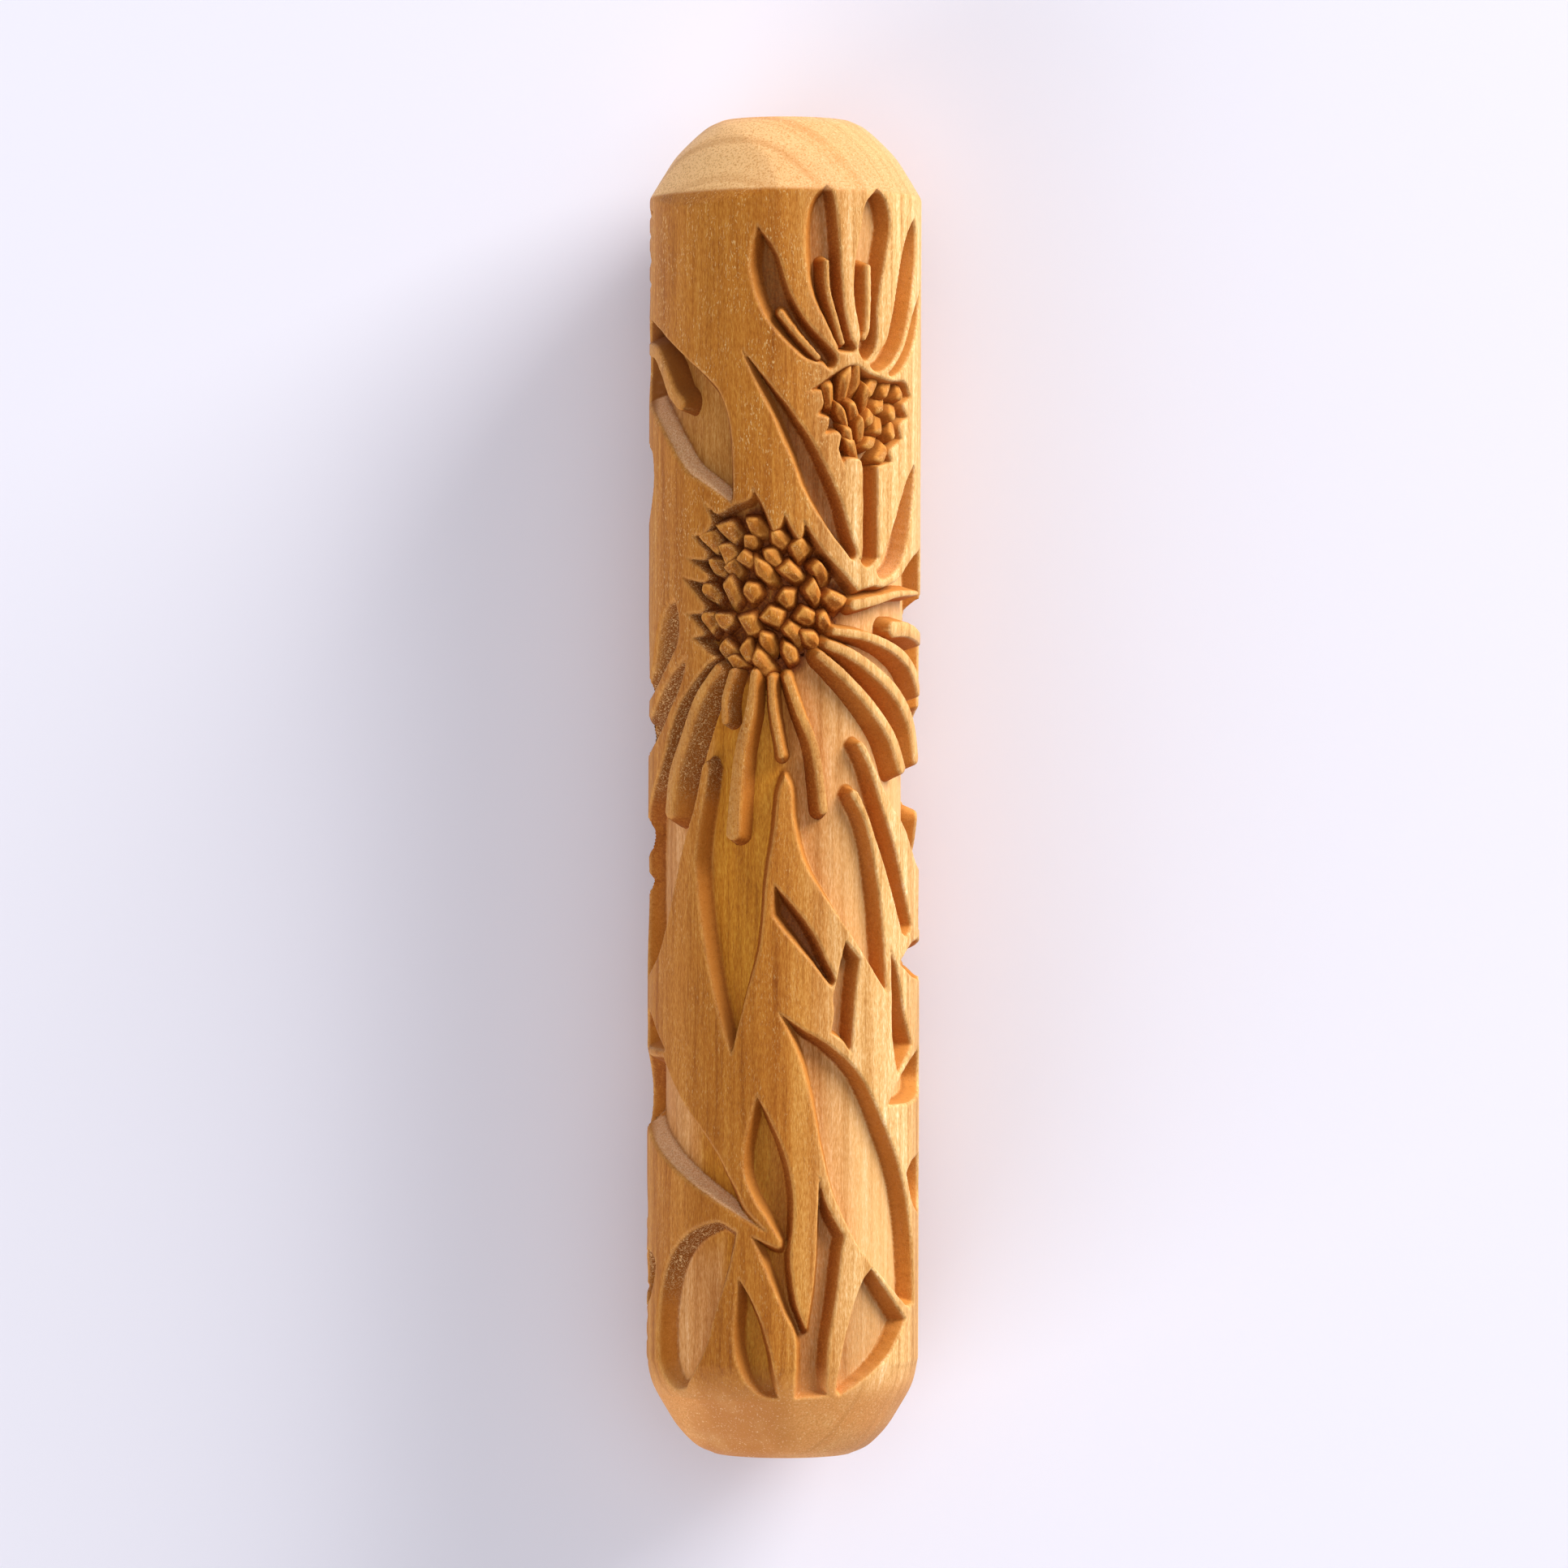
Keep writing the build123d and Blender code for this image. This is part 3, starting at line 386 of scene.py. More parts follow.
def rubbed_flat(places):
    """Depth of the shallow flat that was rubbed into the upper dome at its front left."""
    off_centre = (places[:, 0] / OUTER_RADIUS - RUB_CENTRE) / RUB_HALF_WIDTH
    up = np.clip((places[:, 1] - RUB_START) / RUB_LENGTH, 0, None)
    return RUB_DEPTH * np.clip(1 - off_centre ** 2 - up ** 2, 0, 1)


def blank_radius(places):
    """Radius of the uncarved roller along its barrel."""
    along = places[:, 1]
    past_shoulder = along - UPPER_SHOULDER + rubbed_flat(places) / UPPER_SLOPE
    upper = OUTER_RADIUS - UPPER_SLOPE * eased(past_shoulder, SHOULDER_ROUNDING)
    profile = smooth(LOWER_DOME, steps=10)[::-1]
    lower = np.interp(along, profile[:, 1], profile[:, 0])
    return np.where(along > 0, upper, lower)


def nearness_to_seeds(places):
    """How much painted shade the floor gets: most between the seeds of a flower head, falling to 0
    outside it.
    """
    near = np.zeros(len(places))
    for seen in (places, turned(places)):
        for seeds, most in ((LARGE_SEEDS, LARGE_GAP), (SMALL_SEEDS, SMALL_GAP)):
            for seed in np.array(seeds):
                close = np.flatnonzero((np.abs(seen - seed) < GAP_REACH).all(axis=1))
                distance = np.hypot(*(seen[close] - seed).T)
                seed_shade = most * np.clip((GAP_REACH - distance) / GAP_FADE, 0, 1)
                near[close] = np.maximum(near[close], seed_shade)
    return near


def barrel_surface(places):
    """Radius of the carved barrel with the cutter's unevenness, and its painted highlight, painted shade
    and painted light.
    """
    distance, _, width, painted_shade_and_light = carving(places)
    distance = distance + EDGE_WANDER.at(places) + EDGE_NIBBLE.at(places)
    rounding = CREST_ROUNDING * (width / WALL_WIDTH) ** 1.5
    sunk = (eased(distance, rounding) - eased(distance - width, TOE_ROUNDING)) / width
    on_wall = np.clip(4 * sunk * (1 - sunk), 0, 1)
    on_floor = np.clip(2 * sunk - 1, 0, 1)
    uneven = (on_floor * (FLOOR_WAVES.at(places) + FLOOR_MARKS.at(places))
              + on_wall * WALL_FIBRES.at(places)
              + (1 - on_floor) * (GROUND_WAVES.at(places) - GROUND_WAVES.height))
    uneven *= np.clip((BARREL_HALF - np.abs(places[:, 1])) / END_FADE, 0, 1)
    blank = blank_radius(places)
    floor = np.minimum(FLOOR_RADIUS, blank)
    # a pale band along each crest: rubbed wear with a painted highlight
    crest = np.exp(-((distance + CREST_OUTSIDE) / CREST_BAND) ** 2)
    # painted shade inside some pockets, between the seeds and along the foot of every wall
    painted_shade = np.clip(painted_shade_and_light, 0, 1) * np.clip(distance / PAINTED_SHADE_FADE, 0, 1)
    between_seeds = nearness_to_seeds(places) * np.clip(2.5 * sunk - 0.6, 0, 1)
    toe = TOE_SHADE * np.exp(-((distance - width) / TOE_BAND) ** 2)
    gap = np.maximum(np.maximum(painted_shade, between_seeds), toe)
    # painted light on the walls that face up and to the right in some pockets
    painted_wall_light = np.clip(-painted_shade_and_light, 0, 1)
    return blank + sunk * (floor - blank) + uneven, np.stack([crest, gap, painted_wall_light], axis=1)


def snap_to_edges(places):
    """Mesh points close to a wall's crest or toe move onto it, so that the edges are clean."""
    distance, step, width, _ = carving(places)
    length = np.maximum(np.abs(distance), 1e-6)
    outwards = step / length[:, None]
    reach = 0.5 * CELL
    moved = places.copy()
    crest = np.abs(distance) < reach
    moved[crest] += step[crest]
    toe = (np.abs(distance - width) < reach) & ~crest
    moved[toe] += outwards[toe] * (distance - width)[toe][:, None]
    return moved


# ---- meshes ----

# painted highlight with rubbed wear at crests, painted shade low down and in hollows, painted light on
# some walls
SHADING = ("crest", "gap", "painted_wall_light")


def in_space(places, radius):
    """Points in the scene above places on the barrel."""
    angle = places[:, 0] / OUTER_RADIUS
    return np.stack([radius * np.sin(angle), places[:, 1], radius * np.cos(angle)], axis=1) * MM


def add_mesh(name, points, faces, shading, material, flat_faces=0, normals=None):
    """A smooth mesh riding on the roller; its last faces may be flat ones.

    The shading has a column for each of SHADING, from 0 to 1 at every point."""
    mesh = bpy.data.meshes.new(name)
    mesh.from_pydata(points.tolist(), [], faces if isinstance(faces, list) else faces.tolist())
    is_smooth = np.ones(len(mesh.polygons), bool)
    is_smooth[len(is_smooth) - flat_faces:] = False
    mesh.polygons.foreach_set("use_smooth", is_smooth)
    for layer_name, column in zip(SHADING, shading.T):
        layer = mesh.attributes.new(layer_name, "FLOAT", "POINT")
        layer.data.foreach_set("value", column.astype(np.float32))
    mesh.materials.append(material)
    mesh.update()
    if normals is not None:
        mesh.normals_split_custom_set_from_vertices(normals.tolist())
    piece = bpy.data.objects.new(name, mesh)
    bpy.context.scene.collection.objects.link(piece)
    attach(piece, "root")
    return piece


def tube_faces(rows, columns):
    """Four-sided faces between rows of points, where each row is a closed ring."""
    ring = np.arange((rows - 1) * columns).reshape(-1, columns)
    beside = np.roll(ring, -1, axis=1)
    return np.stack([ring, beside, beside + columns, ring + columns], axis=2).reshape(-1, 4)


def grid_faces(rows, columns, radius):
    """Triangles of a grid that is joined round the barrel, split along the gentler diagonal."""
    a, b, c, d = tube_faces(rows, columns).T
    along_ac = (np.abs(radius[a] - radius[c]) <= np.abs(radius[b] - radius[d]))[:, None]
    first = np.where(along_ac, np.stack([a, b, c], 1), np.stack([a, b, d], 1))
    second = np.where(along_ac, np.stack([a, c, d], 1), np.stack([b, c, d], 1))
    return np.vstack([first, second])


def end_caps(size, columns, turned_round=False):
    """Two fans that close the first and last of a grid's rings round hubs added after its points."""
    ring = np.arange(columns)
    beside = np.roll(ring, -1)
    last = size - columns
    lower = np.stack([beside, ring, np.full(columns, size)], axis=1)
    upper = np.stack([ring + last, beside + last, np.full(columns, size + 1)], axis=1)
    way = [1, 0, 2] if turned_round else [0, 1, 2]
    return [lower[:, way], upper[:, way]]


def point_normals(points, faces):
    """Unit normals of a mesh's points, from the faces round each one."""
    a, b, c = (points[faces[:, corner]] for corner in range(3))
    face_normals = np.cross(b - a, c - a)
    normals = np.zeros_like(points)
    for axis in range(3):
        for corner in range(3):
            normals[:, axis] += np.bincount(faces[:, corner], face_normals[:, axis], len(points))
    return normals / np.maximum(np.linalg.norm(normals, axis=1), 1e-20)[:, None]


def joined(parts):
    """Several small meshes as one: points, faces and shading."""
    points, faces, shading = [], [], []
    used = 0
    for part_points, part_faces, part_shading in parts:
        points.append(part_points)
        faces += [[index + used for index in face] for face in part_faces]
        shading.append(part_shading)
        used += len(part_points)
    return np.vstack(points), faces, np.vstack(shading)


# ---- the barrel and the domed ends ----

HUB_RADIUS = 0.3             # the innermost ring of an end face
FACE_RINGS = 15


def make_barrel(material):
    """The carved barrel in bands, each closed by flat ends inside the wood."""
    columns = int(round(2 * HALF_TURN / CELL))
    rows = int(round(2 * BARREL_HALF / CELL)) + 1
    around = np.linspace(-HALF_TURN, HALF_TURN, columns, endpoint=False)
    along = np.linspace(-BARREL_HALF, BARREL_HALF, rows)
    places = np.stack(np.meshgrid(around, along), axis=2).reshape(-1, 2)
    moved = snap_to_edges(places)
    edge_rows = np.abs(places[:, 1]) > BARREL_HALF - 1e-6
    moved[edge_rows] = places[edge_rows]
    radius, shading = barrel_surface(moved)
    points = in_space(moved, radius)
    normals = point_normals(points, grid_faces(rows, columns, radius))
    bands = []
    limits = np.searchsorted(along, np.array(BAND_LIMITS) - 1e-6)
    for number, (first, last) in enumerate(zip(limits, limits[1:]), start=1):
        band_rows = last + 1 - first
        chosen = slice(first * columns, (last + 1) * columns)
        faces = [grid_faces(band_rows, columns, radius[chosen])] + end_caps(band_rows * columns, columns)
        hubs = np.array([[0, along[first], 0], [0, along[last], 0]]) * MM
        band = add_mesh(f"carved_barrel_band_{number}", np.vstack([points[chosen], hubs]),
                        np.vstack(faces), np.vstack([shading[chosen], np.zeros((2, 3))]), material,
                        normals=np.vstack([normals[chosen], [(0, -1, 0), (0, 1, 0)]]))
        bands.append(band)
    return bands


def make_end(name, profile, upper, material):
    """A domed end turned from its profile, closed by a flat face inside the wood."""
    way = 1 if upper else -1
    joint = (blank_radius(np.array([[HALF_TURN, way * BARREL_HALF]]))[0], way * BARREL_HALF)
    curve = smooth(profile, steps=10)
    curve = curve[np.abs(curve[:, 1]) > BARREL_HALF + 0.05]
    inwards = np.linspace(curve[-1, 0], HUB_RADIUS, FACE_RINGS + 1)[1:]
    face = np.stack([inwards, np.full(FACE_RINGS, curve[-1, 1])], axis=1)
    curve = np.vstack([joint, curve, face])
    columns = int(round(2 * HALF_TURN / CELL)) // 2
    around = np.linspace(-HALF_TURN, HALF_TURN, columns, endpoint=False)
    rings = []
    for radius, height in curve:
        places = np.stack([around, np.full(columns, height)], axis=1)
        on_side = min((HALF_LENGTH - abs(height)) / RUB_FADE, 1)
        rings.append(in_space(places, radius - on_side * rubbed_flat(places)))
    points = np.vstack(rings)
    size = len(points)
    faces = grid_faces(len(curve), columns, np.zeros(size))[:, ::way]
    hubs = np.array([[0, curve[0, 1], 0], [0, curve[-1, 1], 0]]) * MM
    normals = np.vstack([point_normals(points, faces), [(0, -way, 0), (0, way, 0)]])
    piece = add_mesh(name, np.vstack([points, hubs]),
                     np.vstack([faces] + end_caps(size, columns, turned_round=not upper)),
                     np.zeros((size + 2, 3)), material, 2 * columns, normals)
    return piece


# ---- petals, veins and ribs ----

# how far out past a bar's end its rounding sections lie, as a share of its half width there
ROUND_END = np.sin(np.radians([78, 60, 40, 20]))
# a bar's cross-section from a foot to its crest: share of the flank's width, drop in mm
BAR_SECTION = [(1.1, DEPTH + 0.25), (1.0, DEPTH), (0.82, DEPTH * 0.82), (0.58, DEPTH * 0.58),
               (0.34, DEPTH * 0.32), (0.14, DEPTH * 0.11), (0.0, 0.05), (-0.1, 0.0)]
BAR_DROP = 0.02              # how far its crest lies below the turned surface
BAR_WOBBLE = 0.025           # how much wider or narrower each of its sections is


def make_bar(line, start_width, end_width, flank, turned_over):
    """One raised bar lofted along its centre line, with rounded ends and a rounded crest.

    Its flank towards the roller's middle line leans out further than the other one."""
    centre = smooth(line, steps=14)
    direction = np.gradient(centre, axis=0)
    direction /= np.linalg.norm(direction, axis=1)[:, None]
    half = np.linspace(start_width, end_width, len(centre)) / 2
    past_end = np.concatenate([-ROUND_END, np.zeros(len(centre)), ROUND_END[::-1]])
    nearest = np.clip(np.arange(len(past_end)) - len(ROUND_END), 0, len(centre) - 1)
    along, half = direction[nearest], half[nearest]
    place = centre[nearest] + along * (half * past_end)[:, None]
    narrowing = np.sqrt(1 - past_end ** 2)
    across = np.stack([-along[:, 1], along[:, 0]], axis=1)
    # of two draws for each section, the second one widens it
    wobble = random.uniform(-BAR_WOBBLE, BAR_WOBBLE, (len(past_end), 2))[:, 1]
    out, drop = np.array(BAR_SECTION).T
    flanks = []
    for side in (1, -1):
        towards_middle = -side * across[:, 0] * np.clip(place[:, 0] / MIDDLE_REACH, -1, 1)
        lean = flank * (1 + MIDDLE_LEAN * towards_middle) * narrowing
        reach = (half * narrowing + wobble)[:, None] + lean[:, None] * out
        beyond = past_end[:, None] * flank * out
        outwards = side * reach[..., None] * across[:, None]
        spots = place[:, None] + outwards + beyond[..., None] * along[:, None]
        flanks.append(spots[:, ::side])
    places = np.concatenate(flanks, axis=1)
    rows, columns = places.shape[:2]
    places = places.reshape(-1, 2)
    drop = np.tile(np.append(drop, drop[::-1]), rows)
    points = in_space(turned(places) if turned_over else places, OUTER_RADIUS - BAR_DROP - drop)
    last = (rows - 1) * columns
    ends = [range(columns)[::-1], range(last, last + columns)]
    faces = tube_faces(rows, columns).tolist() + ends
    # a painted highlight with rubbed wear along the crest, and painted shade low on the flanks
    crest = np.clip(1 - drop / 0.3, 0, 1)
    gap = 0.7 * np.clip(drop / DEPTH - 0.45, 0, 1)
    return points, faces, np.stack([crest, gap, np.zeros(len(drop))], axis=1)


def make_bars(name, bar_names, material, turned_over):
    bars = []
    for bar_name in bar_names:
        bars.append(make_bar(*BARS[bar_name], WIDE_FLANKS.get(bar_name, FLANK_WIDTH), turned_over))
    piece = add_mesh(name, *joined(bars), material)
    return piece


# ---- seeds ----

# a peg from under the floor to its top: share of its outline, share of its height, painted highlight at
# its rim, painted shade low on its sides
PEG_RINGS = [(1.52, -0.2, 0, 1), (1.44, 0.03, 0, 1), (1.3, 0.3, 0, 1), (1.12, 0.58, 0, 0.75),
             (0.97, 0.79, 0, 0.35), (0.86, 0.9, 0.6, 0.05), (0.74, 0.965, 1, 0), (0.56, 0.995, 0.1, 0),
             (0.3, 1.0, 0, 0)]
PEG_POINTS = 24
PEG_TALLEST = DEPTH - 0.03


def make_peg(place, size, tall, lean, length, gap_share, turned_over):
    """One seed: a hewn peg with a few flat sides and a tilted top that is highest at its back."""
    sides = int(random.integers(4, 6))
    facing = 2 * math.pi / sides * (np.arange(sides) + random.uniform(-0.22, 0.22, sides))
    reach = size * random.uniform(0.86, 1.08, sides)
    angle = np.linspace(0, 2 * math.pi, PEG_POINTS, endpoint=False)
    pull = np.clip(np.cos(angle[:, None] - facing), 0, None) / reach
    outline = (pull ** 10).sum(axis=1) ** -0.1
    stretch = length * random.uniform(0.86, 1.14)
    flat = np.stack([outline * np.cos(angle) * stretch,
                     outline * np.sin(angle) / math.sqrt(stretch)], axis=1)
    turn = math.radians(lean + random.uniform(-18, 18))
    across = np.array([math.cos(turn), math.sin(turn)])
    beside = np.array([-across[1], across[0]])
    tilt = across * random.uniform(0.3, 0.85) + beside * random.uniform(-0.35, 0.35)
    ridge = random.uniform(0.35, 1.0)
    places, heights, shading = [], [], []
    for share, high, crest, gap in PEG_RINGS:
        local = flat * share + random.uniform(-0.02, 0.02, flat.shape)
        ring = local[:, :1] * across + local[:, 1:] * beside
        top = tall - ring @ tilt - ridge * np.abs(local[:, 1])
        places.append(place + ring)
        heights.append(high * np.minimum(top, PEG_TALLEST))
        shading.append(np.tile([crest, gap * gap_share, 0], (PEG_POINTS, 1)))
    places = np.vstack(places + [[place]])
    height = np.append(np.concatenate(heights), min(tall, PEG_TALLEST))
    points = in_space(turned(places) if turned_over else places, FLOOR_RADIUS + height)
    ring = np.arange(PEG_POINTS)
    last = len(points) - 1 - PEG_POINTS
    top_fan = [(a + last, b + last, len(points) - 1) for a, b in zip(ring, np.roll(ring, -1))]
    faces = tube_faces(len(PEG_RINGS), PEG_POINTS).tolist() + top_fan + [ring[::-1]]
    return points, faces, np.vstack(shading + [np.zeros((1, 3))])


def make_seeds(name, places, material, turned_over, height, length, lean, gap_share):
    """A flower head: hewn pegs crowded together, each as wide as its neighbours allow.

    The length is a seed's along its lean, as a share of its width."""
    spots = np.array(places, float)
    pegs = []
    for place in spots:
        neighbours = np.sort(np.hypot(*(spots - place).T))[1:3]
        size = np.clip(0.5 * neighbours.mean(), 0.62, 1.1 / length ** 0.5) * random.uniform(0.88, 0.98)
        tall = height * random.uniform(0.76, 1.0)
        pegs.append(make_peg(place, size, tall, lean(place), length, gap_share, turned_over))
    piece = add_mesh(name, *joined(pegs), material)
    return piece


def large_seed_lean(place):
    """Seeds of the large head point down to the right, less so at its left."""
    return -48 + 1.5 * place[0]


def small_seed_lean(place):
    """Seeds of the small head fan out: steep at its left, rising to the right at its right."""
    return -70 if place[0] < 9 else 38


# ---- materials ----

class Nodes:
    """Short calls for building one material's nodes."""

    def __init__(self, name):
        self.material = bpy.data.materials.new(name)
        self.material.use_nodes = True
        self.tree = self.material.node_tree
        self.tree.nodes.clear()

    def add(self, kind, inputs, **settings):
        """A node whose inputs are linked to others' outputs, or set to numbers, vectors or colours."""
        node = self.tree.nodes.new(kind)
        for key, value in settings.items():
            setattr(node, key, value)
        for key, value in inputs.items():
            socket = node.inputs[key]
            if isinstance(value, bpy.types.NodeSocket):
                self.tree.links.new(value, socket)
            elif socket.type == "RGBA":
                socket.default_value = (*value, 1)
            else:
                socket.default_value = value
        return node

    def math(self, operation, first, second):
        return self.add("ShaderNodeMath", {0: first, 1: second}, operation=operation).outputs[0]

    def times(self, first, *others):
        for other in others:
            first = self.math("MULTIPLY", first, other)
        return first

    def plus(self, first, *others):
        for other in others:
            first = self.math("ADD", first, other)
        return first

    def rest(self, value):
        """What the value leaves of 1."""
        return self.math("SUBTRACT", 1.0, value)

    def vector(self, operation, *values):
        node = self.add("ShaderNodeVectorMath", dict(enumerate(values)), operation=operation)
        gives_number = operation in ("DOT_PRODUCT", "DISTANCE", "LENGTH")
        return node.outputs["Value" if gives_number else "Vector"]

    def separate(self, vector):
        return self.add("ShaderNodeSeparateXYZ", {0: vector}).outputs

    def mix(self, factor, first, second, blend="MIX"):
        inputs = {0: factor, 6: first, 7: second}
        return self.add("ShaderNodeMix", inputs, data_type="RGBA", blend_type=blend).outputs[2]

    def noise(self, vector, scale, detail, roughness, distortion=0.0):
        inputs = {"Vector": vector, "Scale": scale, "Detail": detail, "Roughness": roughness,
                  "Distortion": distortion}
        return self.add("ShaderNodeTexNoise", inputs).outputs["Fac"]

    def ramp(self, value, low, high):
        """Smoothly from 0 at the low end to 1 at the high one, which may be the smaller number."""
        inputs = {"Value": value, "From Min": low, "From Max": high}
        return self.add("ShaderNodeMapRange", inputs, interpolation_type="SMOOTHSTEP").outputs["Result"]

    def attribute(self, name):
        return self.add("ShaderNodeAttribute", {}, attribute_name=name).outputs["Fac"]

    def surface(self, inputs):
        shader = self.add("ShaderNodeBsdfPrincipled", inputs)
        self.add("ShaderNodeOutputMaterial", {"Surface": shader.outputs[0]})


# The wood's fine structure, as noise: scale across and along the grain, detail, roughness and
# distortion.
TEXTURES = {
    "grain": (1900, 70, 5.0, 0.66, 0.0),
    "broad": (230, 16, 3.0, 0.5, 0.5),
    "fibres": (8200, 1500, 2.0, 0.65, 0.0),
    "specks": (8600, 2400, 1.0, 0.5, 0.0),
    "speck_groups": (700, 260, 2.0, 0.5, 0.0),
    "grit": (9000, 9000, 3.0, 0.7, 0.0),
    "dots": (5200, 5200, 2.0, 0.6, 0.0),
    "cloud": (300, 300, 3.0, 0.6, 0.0),
    "splinters": (3600, 3600, 4.0, 0.75, 0.8),
    "curls": (2800, 2800, 1.0, 0.5, 3.0),
}
PITH = (0.021, 0.0, -0.03)  # the growth rings' centre, beside the roller

# Marks in the wood: a texture, the values from which and at which it is full, how strong it is
# there and its colour. The grain's colours multiply the wood's own, and the others cover it.
GRAIN_MARKS = [
    ("rings", 0.5, 0.64, 0.75, (0.7, 0.56, 0.36)),
    ("rings", 0.48, 0.34, 0.55, (1.22, 1.45, 1.9)),
    ("broad", 0.45, 0.75, 0.6, (0.74, 0.64, 0.45)),
    ("grain", 0.5, 0.7, 0.72, (0.66, 0.54, 0.36)),
    ("grain", 0.5, 0.31, 0.55, (1.25, 1.5, 2.1)),
    ("fibres", 0.48, 0.66, 0.45, (1.35, 1.8, 2.9)),
    ("fibres", 0.48, 0.32, 0.5, (0.62, 0.5, 0.34)),
]
WALL_MARKS = [
    ("splinters", 0.45, 0.66, 0.35, (0.66, 0.25, 0.04)),
    ("splinters", 0.45, 0.3, 0.4, (0.22, 0.052, 0.003)),
    ("grit", 0.58, 0.74, 0.3, (0.8, 0.39, 0.11)),
]
END_MARKS = [
    ("rings", 0.46, 0.62, 0.55, (0.6, 0.25, 0.066)),
    ("cloud", 0.45, 0.75, 0.3, (0.84, 0.48, 0.19)),
    ("dots", 0.5, 0.64, 0.62, (0.58, 0.235, 0.052)),
    ("dots", 0.42, 0.3, 0.5, (0.93, 0.66, 0.36)),
]


class Wood(Nodes):
    """Oiled hardwood with its grain along Y.

    The turned ground is golden brown with fine pale fibres, and paler to the right, partly as
    sapwood and partly as painted sheen. The floors are smoother, olive in one layer of the wood and
    paler and gritty outside it. Cut walls are darker, with painted shade on those that face away
    from the light and painted light on those that face it. Edges are rubbed pale and carry a
    painted highlight, gaps and hollows carry painted shade, and the domed ends show end grain."""

    def __init__(self, name, sapwood_and_sheen_share, floor_colour, crest_share, crest_colour):
        super().__init__(name)
        position = self.add("ShaderNodeTexCoord", {}).outputs["Object"]
        self.normal = self.add("ShaderNodeNewGeometry", {}).outputs["Normal"]
        self.x, self.y, _ = self.separate(position)
        self.textures = {}
        for texture, (across, along, *settings) in TEXTURES.items():
            stretched = self.vector("MULTIPLY", position, (across, along, across))
            self.textures[texture] = self.noise(stretched, 1.0, *settings)
        self.find_places(self.vector("MULTIPLY", position, (1, 0, 1)))
        self.find_layers()

        shade = self.ground_and_floor(sapwood_and_sheen_share, floor_colour)
        shade = self.mix(self.times(self.steep, 0.92), shade, self.wall())
        splinters = self.textures["splinters"]
        # painted shade in hollows, between the seeds and at the foot of walls, broken up by splinters
        painted_shade = self.mix(self.ramp(splinters, 0.4, 0.7), (0.11, 0.016, 0.001), (0.33, 0.08, 0.008))
        shade = self.mix(self.times(self.attribute("gap"), 0.92), shade, painted_shade)
        shade = self.mix(self.end, shade, self.end_grain())
        # edges rubbed pale, with a painted highlight on them
        rubbed = self.times(self.attribute("crest"), self.ramp(splinters, 0.3, 0.58), crest_share)
        shade = self.mix(rubbed, shade, crest_colour)
        rough = self.plus(self.times(self.steep, 0.25), 0.42, self.times(self.textures["fibres"], 0.22))
        self.surface({"Base Color": shade, "Roughness": rough, "IOR": 1.45,
                      "Specular IOR Level": 0.16, "Normal": self.relief()})

    def find_places(self, from_axis):
        """How steep the surface is, whether it is a floor or a domed end, and the growth rings."""
        radius = self.vector("LENGTH", from_axis)
        facing = self.vector("DOT_PRODUCT", self.vector("NORMALIZE", from_axis), self.normal)
        self.upper_end = self.ramp(self.y, 0.0581, 0.0586)
        lower_end = self.ramp(self.y, -0.056, -0.061)
        self.end = self.math("MAXIMUM", self.upper_end, lower_end)
        on_barrel = self.rest(self.end)
        below_edge = self.ramp(radius, 0.0134, 0.0131)
        self.steep = self.times(self.ramp(facing, 0.93, 0.55), below_edge, on_barrel)
        self.low = self.times(self.ramp(radius, 0.013, 0.012), on_barrel)
        # bands along the barrel and arcs on the ends
        from_pith = self.vector("DISTANCE", from_axis, PITH)
        ring_place = self.add("ShaderNodeCombineXYZ", {"X": from_pith, "Y": self.times(self.y, 0.012)})
        self.textures["rings"] = self.noise(ring_place.outputs[0], 620, 4.0, 0.7)

    def find_layers(self):
        """One olive layer of the wood runs the length of the roller, with paler wood to its right that
        is partly sapwood and partly painted sheen.
        """
        swing = self.times(self.math("SUBTRACT", self.textures["broad"], 0.5), 0.006)
        edge = self.plus(self.x, swing)
        widening = self.times(self.ramp(self.y, 0.015, 0.03), 0.003)
        left_limit = self.ramp(self.plus(edge, widening), -0.01, -0.006)
        self.layer = self.times(left_limit, self.ramp(edge, 0.0024, -0.002))
        above_low_left = self.ramp(self.y, -0.048, -0.042)
        right_of_low_left = self.ramp(self.x, -0.0065, -0.005)
        self.olive = self.times(self.layer, self.math("MAXIMUM", above_low_left, right_of_low_left))
        # paler to the right: sapwood, and painted sheen from the light on that side
        self.sapwood_and_sheen = self.ramp(edge, 0.0015, 0.009)

    def marked(self, shade, marks, blend="MIX", fading=()):
        """The shade with marks on it, each weakened by the factors of the fading."""
        for texture, start, full, strength, colour in marks:
            here = self.ramp(self.textures[texture], start, full)
            shade = self.mix(self.times(here, strength, *fading), shade, colour, blend)
        return shade

    def ground_and_floor(self, sapwood_and_sheen_share, floor_colour):
        """The turned ground and the cut floors with their grain and pale specks."""
